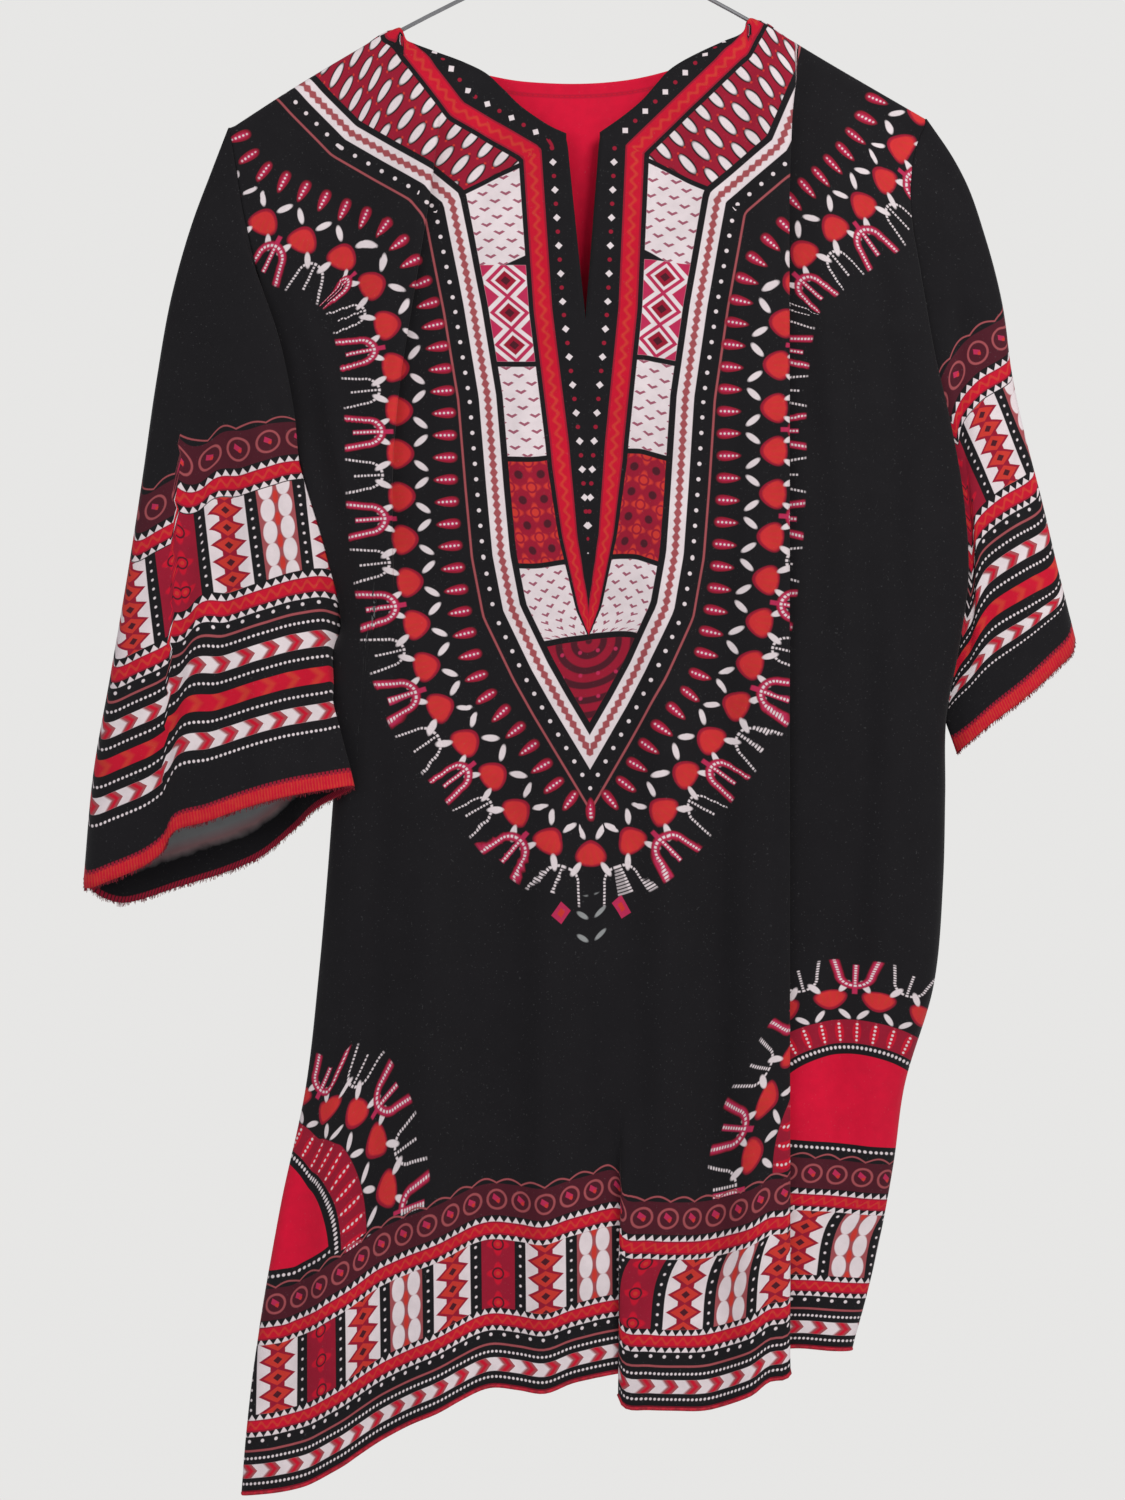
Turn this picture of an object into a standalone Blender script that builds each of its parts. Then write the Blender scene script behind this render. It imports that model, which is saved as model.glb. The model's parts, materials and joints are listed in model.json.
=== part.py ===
"""A printed cotton dashiki shirt hanging on a wire hanger.

Metres, +Z up, the front of the shirt faces -Y. The origin is where a rod carries the hook.
The tables are in millimetres: x to the right, down from the rod, y towards the back.
Every piece of cloth is a one-sheet grid of rows and columns that Solidify turns into a wall.
"""

import math
from typing import NamedTuple

import bpy
import numpy as np

MM = 0.001

# Cloth
WALL = 1.0
SEAM_GAP = 0.3
SEAM_HALF = 0.35
SEAM_REACH = 1.1
SEAM_BEHIND = 1.3
PLEAT_STEP = 3.2
PRINT_LENGTH = 770.0

# Hanger
WIRE_RADIUS = 1.2
HOOK_RADIUS = 18.0
STEM_LOW = 52.0
TWIST_LOW = 77.0
TWIST_RADIUS = 1.35
TWIST_TURNS = 2.5
BAR_DOWN = 209.0
CLOTH_ON_WIRE = WIRE_RADIUS + SEAM_GAP + WALL / 2 + 0.35

# Shares of the way from the shoulder line to the hem
SLIT_TIP = 0.19
NECK_BLEND = 0.30
UNDERARM_LEFT = 0.375
UNDERARM_RIGHT = 0.488
VENT_TOP = 0.79
WAYS = [0.012, 0.03, 0.045, 0.06, 0.08, 0.1, 0.14, SLIT_TIP, 0.25, 0.31, UNDERARM_LEFT, 0.43]
WAYS += [UNDERARM_RIGHT, 0.55, 0.62, 0.705, VENT_TOP, 0.85, 0.875, 0.9, 0.95, 1.0]
WRAP_ANGLES = [0.0, 45.0, 90.0]

SLIT_HALF_WIDTH = 9.4
CENTRE_TOP = -4.0
CENTRE_HEM = 3.0


class Shoulder(NamedTuple):
    """A point of the wire that carries the shoulders."""

    x: float
    down: float


class Side(NamedTuple):
    """Where the body's outline stands, and how far its front and back edges are apart."""

    way: float
    left: float
    right: float
    front_left: float
    front_right: float
    back_left: float
    back_right: float


class Neck(NamedTuple):
    """Depth of the neckline below the straight line between the neck points."""

    across: float
    front: float
    back: float


class Pleat(NamedTuple):
    """One stretch of a flat fold: its visible edge and the cloth that it takes up."""

    way: float
    edge: float
    take_up: float


class Hem(NamedTuple):
    """A point of the hem."""

    x: float
    down: float


class Soft(NamedTuple):
    """A soft vertical fold. A positive depth is a trough."""

    x_top: float
    x_hem: float
    start: float
    end: float
    width: float
    depth: float


class Outer(NamedTuple):
    """How far a sleeve's outer edge stands out from the straight line to its cuff."""

    way: float
    left: float
    right: float


class Cuff(NamedTuple):
    """A point of a cuff's edge, from the outer fold to the underarm seam."""

    share: float
    x: float
    y: float
    down: float


WIRE = [
    Shoulder(-203, 189), Shoulder(-165, 164.5), Shoulder(-111, 133), Shoulder(-60, 107),
    Shoulder(1, 77), Shoulder(50, 103.5), Shoulder(94, 127.5), Shoulder(135, 152), Shoulder(190, 184),
]

SIDES = [
    Side(0.0, -204, 190, -2.1, -2.1, 2.1, 2.1),
    Side(0.03, -200, 183, -4.7, -4.4, 3.8, 3.8),
    Side(0.06, -196, 181.5, -7.2, -5.5, 5.4, 5.4),
    Side(0.1, -189, 184.5, -9.7, -6.5, 7.0, 7.0),
    Side(0.19, -173, 194.5, -12.3, -7.5, 8.7, 8.7),
    Side(0.265, -160, 206, -12.8, -8, 9.0, 9.2),
    Side(0.31, -149.5, 211, -11.5, -8, 8.0, 9.3),
    Side(UNDERARM_LEFT, -140, 213.5, -SEAM_HALF, -8, SEAM_HALF, 9.0),
    Side(0.43, -141.5, 208.5, -SEAM_HALF, -6, SEAM_HALF, 6.5),
    Side(UNDERARM_RIGHT, -145, 201.6, -SEAM_HALF, -SEAM_HALF, SEAM_HALF, SEAM_HALF),
    Side(0.594, -151.5, 200.5, -SEAM_HALF, -SEAM_HALF, SEAM_HALF, SEAM_HALF),
    Side(0.705, -161, 194.5, -SEAM_HALF, -SEAM_HALF, SEAM_HALF, SEAM_HALF),
    Side(VENT_TOP, -175, 177.5, -SEAM_HALF, -SEAM_HALF, SEAM_HALF, SEAM_HALF),
    Side(0.85, -183, 171.5, -4, -4, 3, 3),
    Side(0.93, -192, 160.5, -9, -8, 6, 6),
    Side(1.0, -197, 147.7, -9.6, -8.8, 6.2, 6.2),
]

NECK_LEFT = -111.0
NECK_RIGHT = 94.0
NECK = [
    Neck(0.0, 63, 31), Neck(0.09, 62, 30.8), Neck(0.2, 55, 30), Neck(0.36, 42, 28),
    Neck(0.5, 26, 24.5), Neck(0.64, 17.5, 20.2), Neck(0.8, 10.5, 12.5), Neck(0.92, 5, 6), Neck(1.0, 0, 0),
]

PLEAT_LEFT = [
    Pleat(0.0, -84, 0), Pleat(0.03, -85, 0), Pleat(0.06, -86, 2.8), Pleat(0.08, -87.6, 5.2),
    Pleat(0.1, -89.2, 8.5), Pleat(0.14, -94, 13), Pleat(SLIT_TIP, -100, 13), Pleat(0.25, -107, 9),
    Pleat(0.31, -111, 5.2), Pleat(UNDERARM_LEFT, -111.5, 2.8), Pleat(0.43, -110, 0), Pleat(1.0, -108, 0),
]
PLEAT_CENTRE = [
    Pleat(0.0, 48, 0), Pleat(0.45, 34, 0), Pleat(VENT_TOP, 19, 0), Pleat(0.85, 17.5, 2.8),
    Pleat(0.875, 17.6, 5.2), Pleat(0.9, 17.8, 8), Pleat(0.95, 18, 11), Pleat(1.0, 18.2, 14),
]
PLEAT_RIGHT = [
    Pleat(0.0, 117, 0), Pleat(0.03, 116, 2.8), Pleat(0.045, 115, 5.2), Pleat(0.06, 114, 7.5),
    Pleat(0.14, 112, 11), Pleat(0.5, 112, 13), Pleat(1.0, 112.5, 16),
]

HEM_LEFT = [
    Hem(-198, 960), Hem(-165, 955), Hem(-142, 943.5), Hem(-119, 928), Hem(-85, 911), Hem(-52, 898),
    Hem(-28, 901), Hem(-4, 893.5), Hem(18, 889.5),
]
HEM_MIDDLE = [Hem(18, 903.5), Hem(30, 909), Hem(62.5, 910.5), Hem(85, 904), Hem(97, 896.5), Hem(112.5, 887.5)]
HEM_RIGHT = [Hem(95, 877), Hem(119, 876.6), Hem(148, 877.8)]
HEM_BACK = [Hem(-200, 948), Hem(-119, 917), Hem(-40, 889), Hem(60, 887), Hem(110, 868), Hem(150, 853)]

FRONT_FOLDS = [
    Soft(-150, -168, 0.5, 1.0, 14, 5.0), Soft(-96, -92, 0.42, 1.0, 16, -4.0),
    Soft(-48, -52, 0.5, 1.05, 17, 5.5), Soft(-20, -22, 0.3, 1.0, 12, -2.5),
    Soft(40, 46, 0.3, 1.05, 14, -4.0), Soft(72, 72, 0.25, 1.0, 10, 3.0), Soft(84, 90, 0.5, 1.05, 12, -3.5),
    Soft(150, 138, 0.2, 0.9, 12, 3.5), Soft(186, 170, 0.25, 0.75, 12, -3.0),
    Soft(-160, -135, 0.12, 0.4, 12, 3.0),
]
BACK_FOLDS = [
    Soft(-150, -160, 0.3, 1.0, 18, -4.0), Soft(-105, -112, 0.15, 1.05, 16, 3.5),
    Soft(-52, -60, 0.4, 1.05, 18, -4.0), Soft(8, 4, 0.1, 1.05, 15, 3.0),
    Soft(58, 60, 0.35, 1.05, 17, -3.5), Soft(112, 98, 0.12, 1.05, 15, 4.0), Soft(160, 132, 0.3, 1.0, 14, -3.5),
]
FRONT_DEPTH = 17.0
BACK_DEPTH = 11.0
SIDE_DEPTH_SHARE = 0.7

# How a panel's edge turns back: inside the outline when flat and when turned, and share of the turn
EDGE_TURN = [(0.0, 1.2, 1.0), (2.6, 0.0, 0.72), (5.2, 0.9, 0.42), (8.0, 3.6, 0.17), (11.0, 8.0, 0.05)]
EDGE_TURN += [(14.0, 14.0, 0.0)]
NECK_STEPS = (3.5, 7.0)

OUTER = [
    Outer(0.0, 0, 0), Outer(0.08, 6.5, 9), Outer(0.16, 12, 13.5), Outer(0.25, 14, 14),
    Outer(0.35, 13, 12.5), Outer(0.54, 9, 5.5), Outer(0.73, 7, 3.5), Outer(0.9, 5.5, 1), Outer(1.0, 0, 0),
]
CUFF_LEFT_FRONT = [
    Cuff(0.0, -286, -9, 612), Cuff(0.06, -284, -19, 618), Cuff(0.16, -272, -25, 614),
    Cuff(0.3, -247, -27.5, 603), Cuff(0.345, -238.5, -28.5, 595), Cuff(0.38, -236, -31.5, 588),
    Cuff(0.5, -215, -32, 580), Cuff(0.72, -175, -31, 567), Cuff(0.9, -145, -29, 561.5),
    Cuff(0.97, -135, -27, 559.5), Cuff(1.0, -133, -24.5, 560),
]
CUFF_LEFT_BACK = [
    Cuff(0.0, -286, -9, 612), Cuff(0.06, -283, 0, 619), Cuff(0.16, -268, 6, 627),
    Cuff(0.35, -235, 9, 618), Cuff(0.6, -192, 8, 603), Cuff(0.78, -166, 2.5, 583),
    Cuff(0.86, -157, -9, 575), Cuff(0.92, -151, -18.5, 568), Cuff(0.97, -141, -22, 563), Cuff(1.0, -133, -24.5, 560),
]
CUFF_RIGHT_FRONT = [
    Cuff(0.0, 275.5, 0, 477), Cuff(0.07, 273.5, -5, 484), Cuff(0.2, 264, -8.5, 494),
    Cuff(0.45, 245, -12, 511), Cuff(0.7, 228, -10, 524), Cuff(0.88, 214, -6, 536), Cuff(1.0, 208.5, 0, 541),
]
CUFF_RIGHT_BACK = [
    Cuff(0.0, 275.5, 0, 477), Cuff(0.07, 273.5, 5, 482), Cuff(0.2, 264, 9, 489),
    Cuff(0.45, 245, 12, 503), Cuff(0.7, 228, 11, 517), Cuff(0.88, 214, 6.5, 532), Cuff(1.0, 208.5, 0, 541),
]
# The left sleeve folds over the body's edge: steps right and forward of the seam
SEAM_FOLD = [(0.0, 0.0), (-0.9, -2.6), (2.2, -4.8), (6.4, -6.2), (8.2, -8.4), (6.0, -10.2)]
# The left sleeve's underarm seam passes in front of the body's side
UNDERARM_GUIDE = [
    Cuff(0.0, -141.5, 0, 481), Cuff(0.12, -144, -2.5, 489), Cuff(0.25, -146, -8, 499),
    Cuff(0.42, -146, -16.5, 512), Cuff(0.6, -142, -22.5, 527), Cuff(0.8, -137, -24.5, 544), Cuff(1.0, -133, -24.5, 560),
]
UNDERARM_REACH = 1.5
SLEEVE_STARTS = [0.0, 0.008, 0.018, 0.03, 0.045, 0.062]
SLEEVE_WAYS = [0.12, 0.22, 0.34, 0.47, 0.6, 0.73, 0.86, 1.0]
CUFF_SPREAD = 0.7

FACING_HALF_WIDTH = 93.0
FACING_WAY = 0.25
FACING_OUT = WALL + SEAM_GAP + 0.1
FACING_BEFORE_BAR = -2.6


class Finish(NamedTuple):
    """A material's colour, roughness and metallic value."""

    name: str
    colour: tuple
    roughness: float
    metallic: float


PRINTED_COTTON = Finish("printed_cotton", (0.021, 0.019, 0.024, 1.0), 0.85, 0.0)
BORDER_COTTON = Finish("border_cotton", (0.42, 0.02, 0.03, 1.0), 0.85, 0.0)
RED_COTTON = Finish("red_cotton", (0.62, 0.01, 0.03, 1.0), 0.85, 0.0)
GREY_WIRE = Finish("grey_wire", (0.42, 0.42, 0.43, 1.0), 0.35, 0.9)


def start_empty():
    """Remove every object of the scene."""
    for item in list(bpy.data.objects):
        bpy.data.objects.remove(item)


def column(table, name):
    """One named column of a table."""
    return np.array([getattr(row, name) for row in table], float)


def through(table, key, name, at):
    """A smooth curve through a table's column that never overshoots its values."""
    knots = column(table, key)
    values = column(table, name)
    step = np.diff(knots)
    rise = np.diff(values) / step
    slope = np.zeros(len(knots))
    slope[0] = rise[0]
    slope[-1] = rise[-1]
    turning = rise[:-1] * rise[1:] <= 0
    mean = 2 * rise[:-1] * rise[1:] / np.where(turning, 1, rise[:-1] + rise[1:])
    slope[1:-1] = np.where(turning, 0, mean)
    at = np.clip(at, knots[0], knots[-1])
    i = np.clip(np.searchsorted(knots, at, side="right") - 1, 0, len(step) - 1)
    u = (at - knots[i]) / step[i]
    start = values[i] * (1 + 2 * u) * (1 - u) ** 2 + slope[i] * step[i] * u * (1 - u) ** 2
    finish = values[i + 1] * u * u * (3 - 2 * u) - slope[i + 1] * step[i] * u * u * (1 - u)
    return start + finish


def ease(low, high, at):
    """A smooth step from 0 at low to 1 at high."""
    u = np.clip((np.asarray(at, float) - low) / (high - low), 0, 1)
    return u * u * (3 - 2 * u)


def shoulder_line(x):
    """Depth of the shoulder line, straight across the neck opening."""
    on_wire = through(WIRE, "x", "down", x)
    ends = [through(WIRE, "x", "down", NECK_LEFT), through(WIRE, "x", "down", NECK_RIGHT)]
    across = np.interp(x, [NECK_LEFT, NECK_RIGHT], ends)
    inside = (x > NECK_LEFT) & (x < NECK_RIGHT)
    return np.where(inside, across, on_wire)


def neck_depth(x, panel):
    """Depth of the neckline below the shoulder line, 0 outside the neck opening."""
    half = np.where(x < CENTRE_TOP, CENTRE_TOP - NECK_LEFT, NECK_RIGHT - CENTRE_TOP)
    return through(NECK, "across", panel, np.abs(x - CENTRE_TOP) / half)


def rows():
    """Each row's way from the shoulder line to the hem, with its wrap angle over the wire."""
    wrapped = [(0.0, angle) for angle in WRAP_ANGLES]
    return wrapped + [(way, None) for way in WAYS]


def pleat_bends(table, way, behind):
    """Where a pleat's left and right bends lie, and how far its layers are stepped apart.

    The cloth on the left lies on top where behind is 1, and underneath where it is -1.
    """
    take_up = through(table, "way", "take_up", way)
    edge = through(table, "way", "edge", way)
    right_bend = edge if behind > 0 else edge + take_up
    return right_bend - take_up, right_bend, take_up, ease(0.0, 2.8, take_up) * behind


def pleat_columns(table, way, behind):
    """The eight columns of a flat fold, as x and step in depth.

    They lie flat where it takes nothing up, then stand upright, then fold over.
    """
    edge = through(table, "way", "edge", way)
    left_bend, right_bend, take_up, stepped = pleat_bends(table, way, behind)
    radius = PLEAT_STEP / 2
    bends = [(right_bend - radius, a, 1) for a in (-90, -30, 30, 90)]
    bends += [(left_bend, a, -1) for a in (-90, -30, 30, 90)]
    folded = ease(2.8, 7.5, take_up)
    found = []
    for k, (centre, angle, turn) in enumerate(bends):
        bend = math.radians(angle)
        upright = math.radians((angle - turn * 90) / 2)
        x = centre + turn * radius * math.cos(bend)
        y = turn * -radius + radius * math.sin(bend)
        upright_x = edge + turn * radius * (math.cos(upright) - 1)
        upright_y = turn * -radius + radius * math.sin(upright)
        flat = edge + (k - 3.5) * 2.4
        risen = flat + (upright_x - flat) * np.abs(stepped)
        found.append((risen + (x - upright_x) * folded, (upright_y + (y - upright_y) * folded) * stepped))
    return found


def layer_step(x, way):
    """How far a plain column is stepped back by the pleats beside it."""
    step = np.zeros(len(way))
    for table, behind in ((PLEAT_LEFT, 1), (PLEAT_CENTRE, -1), (PLEAT_RIGHT, 1)):
        left_bend, right_bend, _, stepped = pleat_bends(table, way, behind)
        on_left = x < (left_bend + right_bend) / 2 if x[0] < column(table, "edge")[0] else x < -1e9
        before = -ease(left_bend - 24, left_bend - 2, x)
        beyond = 1 - ease(right_bend + 2, right_bend + 24, x)
        step = step + PLEAT_STEP * stepped * np.where(on_left, before, beyond)
    return step


def at_shares(low, high, shares):
    """Columns at the given shares of the way from one to another."""
    return [low + (high - low) * share for share in shares]


def edge_base(panel, way):
    """How deep a panel lies at its side edges before it turns back."""
    depth = FRONT_DEPTH if panel == "front" else BACK_DEPTH
    return CLOTH_ON_WIRE + depth * SIDE_DEPTH_SHARE * fall(way, 70)


def turned(panel, side, way):
    """How far a panel's edge is turned back: 0 where it lies flat, 1 where it is rounded."""
    edge = np.abs(through(SIDES, "way", f"{panel}_{side}", way))
    return ease(1.2, 5.5, edge_base(panel, way) - edge)


def edge_columns(panel, side, way):
    """The columns of a panel's edge with their share of the turn, from the outline inwards."""
    outline = through(SIDES, "way", side, way)
    inwards = 1 if side == "left" else -1
    turn = turned(panel, side, way)
    return [(outline + inwards * (flat + (bent - flat) * turn), share) for flat, bent, share in EDGE_TURN]


def front_columns():
    """Every column of the front: x, share of the edge's turn, its own step, and its hem's name."""
    way = np.array([w for w, _ in rows()])
    left_pleat = pleat_columns(PLEAT_LEFT, way, 1)
    centre_pleat = pleat_columns(PLEAT_CENTRE, way, -1)
    right_pleat = pleat_columns(PLEAT_RIGHT, way, 1)
    middle = CENTRE_TOP + (CENTRE_HEM - CENTRE_TOP) * way
    slit = SLIT_HALF_WIDTH * np.clip(1 - way / SLIT_TIP, 0, 1)
    left_edge = edge_columns("front", "left", way)
    right_edge = edge_columns("front", "right", way)
    inner_left = left_edge[-1][0]
    inner_right = right_edge[-1][0]
    settled_left = 0.55 * inner_left + 0.45 * left_pleat[0][0]
    settled_right = 0.35 * centre_pleat[-1][0] + 0.65 * right_pleat[0][0]
    neck_left = NECK_LEFT + (settled_left - NECK_LEFT) * ease(0.0, 0.35, way)
    neck_right = NECK_RIGHT + (settled_right - NECK_RIGHT) * ease(0.0, 0.5, way)
    steps = np.array(NECK_STEPS)
    from_left = [*(steps / (left_pleat[0][0][0] - NECK_LEFT)), 0.62]
    from_right = [0.25, 0.52, *(1 - steps[::-1] / (NECK_RIGHT - centre_pleat[-1][0][0]))]
    found = [(x, share, None, "left") for x, share in left_edge]
    plain = at_shares(inner_left, neck_left, (0.25, 0.5, 0.75)) + [neck_left]
    plain += at_shares(neck_left, left_pleat[0][0], from_left)
    found += [(x, 0, None, "left") for x in plain]
    found += [(x, 0, step, "left") for x, step in left_pleat]
    plain = at_shares(left_pleat[-1][0], middle - slit, (0.12, 0.26, 0.42, 0.58, 0.72, 0.87))
    plain += [middle - slit, middle + slit]
    plain += at_shares(middle + slit, centre_pleat[0][0], (0.35, 0.7))
    found += [(x, 0, None, "left") for x in plain]
    found += [(x, 0, step, "centre_pleat") for x, step in centre_pleat]
    plain = at_shares(centre_pleat[-1][0], neck_right, from_right) + [neck_right]
    plain += at_shares(neck_right, right_pleat[0][0], (0.35, 0.7))
    found += [(x, 0, None, "middle") for x in plain]
    found += [(x, 0, step, "right_pleat") for x, step in right_pleat]
    found += [(x, 0, None, "right") for x in at_shares(right_pleat[-1][0], inner_right, (0.22, 0.4, 0.6, 0.8))]
    found += [(x, share, None, "right") for x, share in reversed(right_edge)]
    return [(x, share, layer_step(x, way) if step is None else step, part) for x, share, step, part in found]


HEMS = {"left": HEM_LEFT, "middle": HEM_MIDDLE, "right": HEM_RIGHT}


def front_hems(columns):
    """The depth of the hem under each column, from its own layer's hem."""
    found = []
    for x, _, _, part in columns:
        found.append(float(through(HEMS[part], "x", "down", x[-1])) if part in HEMS else None)
    known = [i for i, depth in enumerate(found) if depth is not None]
    return np.interp(range(len(found)), known, [found[i] for i in known])


def folds_at(folds, x, way):
    """The depth of the soft folds at a place."""
    depth = np.zeros(np.broadcast(x, way).shape)
    for fold in folds:
        centre = fold.x_top + (fold.x_hem - fold.x_top) * way
        length = ease(fold.start, fold.start + 0.15, way) * (1 - ease(fold.end - 0.1, fold.end + 0.05, way))
        depth = depth + fold.depth * length * np.exp(-(((x - centre) / fold.width) ** 2))
    return depth


def fall(way, drop):
    """How fast the cloth leaves the wire: 0 on it, 1 well below."""
    return 1 - np.exp(-((way * PRINT_LENGTH / drop) ** 1.15))


def ways_down(x_top, panel):
    """Each row's way down for a column, lowered where the neckline cuts it."""
    way = np.array([w for w, _ in rows()])
    neck = float(neck_depth(np.array(x_top), panel)) / PRINT_LENGTH
    steps = np.array([0, 1.5 / PRINT_LENGTH, 3.0 / PRINT_LENGTH] + [0] * len(WAYS))
    lowered = way + neck * np.clip(1 - way / NECK_BLEND, 0, 1)
    return lowered + (steps if neck > 0 else 0)


def wrap(panel_sign, neck):
    """Where the three top rows lie round the wire: y, and height above its centre.

    Beside the neck points the cloth slides off the wire's top, so the wrap starts further round.
    """
    first = 90 * min(1.0, neck / NECK_STEPS[0] * 1.15)
    found = []
    for angle in WRAP_ANGLES:
        turn = math.radians(first + (90 - first) * angle / 90)
        y = SEAM_HALF + (CLOTH_ON_WIRE - SEAM_HALF) * math.sin(turn)
        found.append((panel_sign * y, CLOTH_ON_WIRE * math.cos(turn)))
    return found


def panel_points(columns, hems, panel):
    """The sheet of a body panel, in millimetres: columns by rows by x, y, down."""
    sign = -1 if panel == "front" else 1
    depth = FRONT_DEPTH if panel == "front" else BACK_DEPTH
    folds = FRONT_FOLDS if panel == "front" else BACK_FOLDS
    way = np.array([w for w, _ in rows()])
    low = through(SIDES, "way", "left", way)
    high = through(SIDES, "way", "right", way)
    points = np.zeros((len(columns), len(way), 3))
    for i, (x, share, step, _) in enumerate(columns):
        down_way = ways_down(x[0], panel)
        line = float(shoulder_line(np.array(x[0])))
        neck = float(neck_depth(np.array(x[0]), panel))
        across = np.clip(2 * (x - low) / (high - low) - 1, -1, 1)
        crown = SIDE_DEPTH_SHARE + (1 - SIDE_DEPTH_SHARE) * (1 - across**4)
        base = CLOTH_ON_WIRE + depth * fall(down_way, 70) * crown
        y = sign * base + step + folds_at(folds, x, down_way) * fall(down_way, 25) * (1 - share)
        edge = through(SIDES, "way", f"{panel}_{'left' if across[0] < 0 else 'right'}", way)
        y = y + (edge - y) * share
        down = line + down_way * (hems[i] - line)
        if neck < NECK_STEPS[0] / 1.15:
            on_wire = float(through(WIRE, "x", "down", x[0]))
            for k, (wrap_y, above) in enumerate(wrap(sign, neck)):
                y[k] = wrap_y
                down[k] = on_wire - above
        points[i] = np.stack([x, y, down], axis=1)
    return points


def back_columns():
    """Every column of the back, spread evenly between its turned edges."""
    way = np.array([w for w, _ in rows()])
    flat = np.zeros(len(way))
    left_edge = edge_columns("back", "left", way)
    right_edge = edge_columns("back", "right", way)
    inner_left = left_edge[-1][0]
    inner_right = right_edge[-1][0]
    at_neck = ease(0.0, 0.5, way)
    neck_left = NECK_LEFT + (0.77 * inner_left + 0.23 * inner_right - NECK_LEFT) * at_neck
    neck_right = NECK_RIGHT + (0.23 * inner_left + 0.77 * inner_right - NECK_RIGHT) * at_neck
    steps = np.array(NECK_STEPS) / (NECK_RIGHT - NECK_LEFT)
    across_neck = [*steps, *np.linspace(0.09, 0.91, 11), *(1 - steps[::-1])]
    plain = at_shares(inner_left, neck_left, (0.25, 0.5, 0.75)) + [neck_left]
    plain += at_shares(neck_left, neck_right, across_neck) + [neck_right]
    plain += at_shares(neck_right, inner_right, (0.25, 0.5, 0.75))
    columns = [(x, share, flat, "back") for x, share in left_edge]
    columns += [(x, 0, flat, "back") for x in plain]
    columns += [(x, share, flat, "back") for x, share in reversed(right_edge)]
    return columns


def back_points(front):
    """The sheet of the back, whose side edges follow the front's down to the vents."""
    columns = back_columns()
    hems = through(HEM_BACK, "x", "down", np.array([x[-1] for x, _, _, _ in columns]))
    points = panel_points(columns, hems, "back")
    way = np.array([w for w, _ in rows()])
    for edge, inner in ((0, 1), (-1, -1)):
        given = front[edge, :, 2]
        own = points[edge, :, 2].copy()
        at_vent = np.interp(VENT_TOP, way, given - own)
        shift = np.where(way <= VENT_TOP, given - own, at_vent * (1 - way) / (1 - VENT_TOP))
        for k in range(10):
            i = edge + inner * k
            points[i, 3:, 2] += shift[3:] * (1 - k / 10) ** 1.5
    return points


def to_world(points):
    """Millimetres from the rod, with down, as world coordinates in metres."""
    world = np.array(points, float) * MM
    world[..., 2] *= -1
    return world


def material(finish):
    """The Principled material of a finish, made once."""
    made = bpy.data.materials.get(finish.name)
    if made is None:
        made = bpy.data.materials.new(finish.name)
        made.use_nodes = True
        shader = made.node_tree.nodes["Principled BSDF"]
        shader.inputs["Base Color"].default_value = finish.colour
        shader.inputs["Roughness"].default_value = finish.roughness
        shader.inputs["Metallic"].default_value = finish.metallic
    return made


def cloth(name, vertices, faces, finish):
    """A cloth piece: a sheet with its wall made by Solidify, half to each side."""
    mesh = bpy.data.meshes.new(name)
    mesh.from_pydata([tuple(v) for v in to_world(vertices)], [], faces)
    mesh.shade_smooth()
    piece = bpy.data.objects.new(name, mesh)
    bpy.context.collection.objects.link(piece)
    mesh.materials.append(material(finish))
    wall = piece.modifiers.new("Wall", "SOLIDIFY")
    wall.thickness = WALL * MM
    wall.offset = 0.0
    return piece


def grid_faces(across, along, flip):
    """The quads of a grid of columns and rows, facing the viewer or away."""
    faces = []
    for i in range(across - 1):
        for j in range(along - 1):
            quad = [i * along + j, i * along + j + 1, (i + 1) * along + j + 1, (i + 1) * along + j]
            faces.append(quad[::-1] if flip else quad)
    return faces


def build_front():
    """The front, one sheet with the neck slit open down to its tip."""
    columns = front_columns()
    points = panel_points(columns, front_hems(columns), "front")
    across, along = points.shape[:2]
    slit_left = next(i for i in range(across) if columns[i][0][0] > CENTRE_TOP) - 1
    tip = [w for w, _ in rows()].index(SLIT_TIP)
    welded = {(slit_left + 1) * along + j: slit_left * along + j for j in range(tip, along)}
    faces = []
    for quad in grid_faces(across, along, False):
        if quad[0] // along != slit_left:
            faces.append([welded.get(v, v) for v in quad])
    used = sorted({v for face in faces for v in face})
    place = {v: k for k, v in enumerate(used)}
    flat = points.reshape(-1, 3)
    cloth("front", flat[used], [[place[v] for v in face] for face in faces], PRINTED_COTTON)
    return points


def build_back(front):
    """The back, one sheet with a shallow neckline."""
    points = back_points(front)
    cloth("back", points.reshape(-1, 3), grid_faces(*points.shape[:2], True), PRINTED_COTTON)
    return points


def build_facing(back):
    """The red facing inside the back neck, made from the back's points moved forward.

    Its loose lower part hangs in front of the hanger's bar.
    """
    way = np.array([w for w, _ in rows()])
    inside = [i for i in range(back.shape[0]) if abs(back[i, 0, 0] - CENTRE_TOP) < FACING_HALF_WIDTH]
    level = int(np.sum(way <= FACING_WAY))
    points = back[inside][:, :level].copy()
    along_rows = np.gradient(points, axis=1)
    along_columns = np.gradient(points, axis=0)
    normal = np.cross(along_rows, along_columns)
    normal /= np.linalg.norm(normal, axis=2, keepdims=True)
    normal *= np.where(normal[..., 1:2] > 0, -1, 1)
    points += normal * FACING_OUT
    points[..., 1] += (FACING_BEFORE_BAR - points[..., 1]) * ease(148, 198, points[..., 2])
    cloth("neck_facing", points.reshape(-1, 3), grid_faces(*points.shape[:2], True), RED_COTTON)


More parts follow.
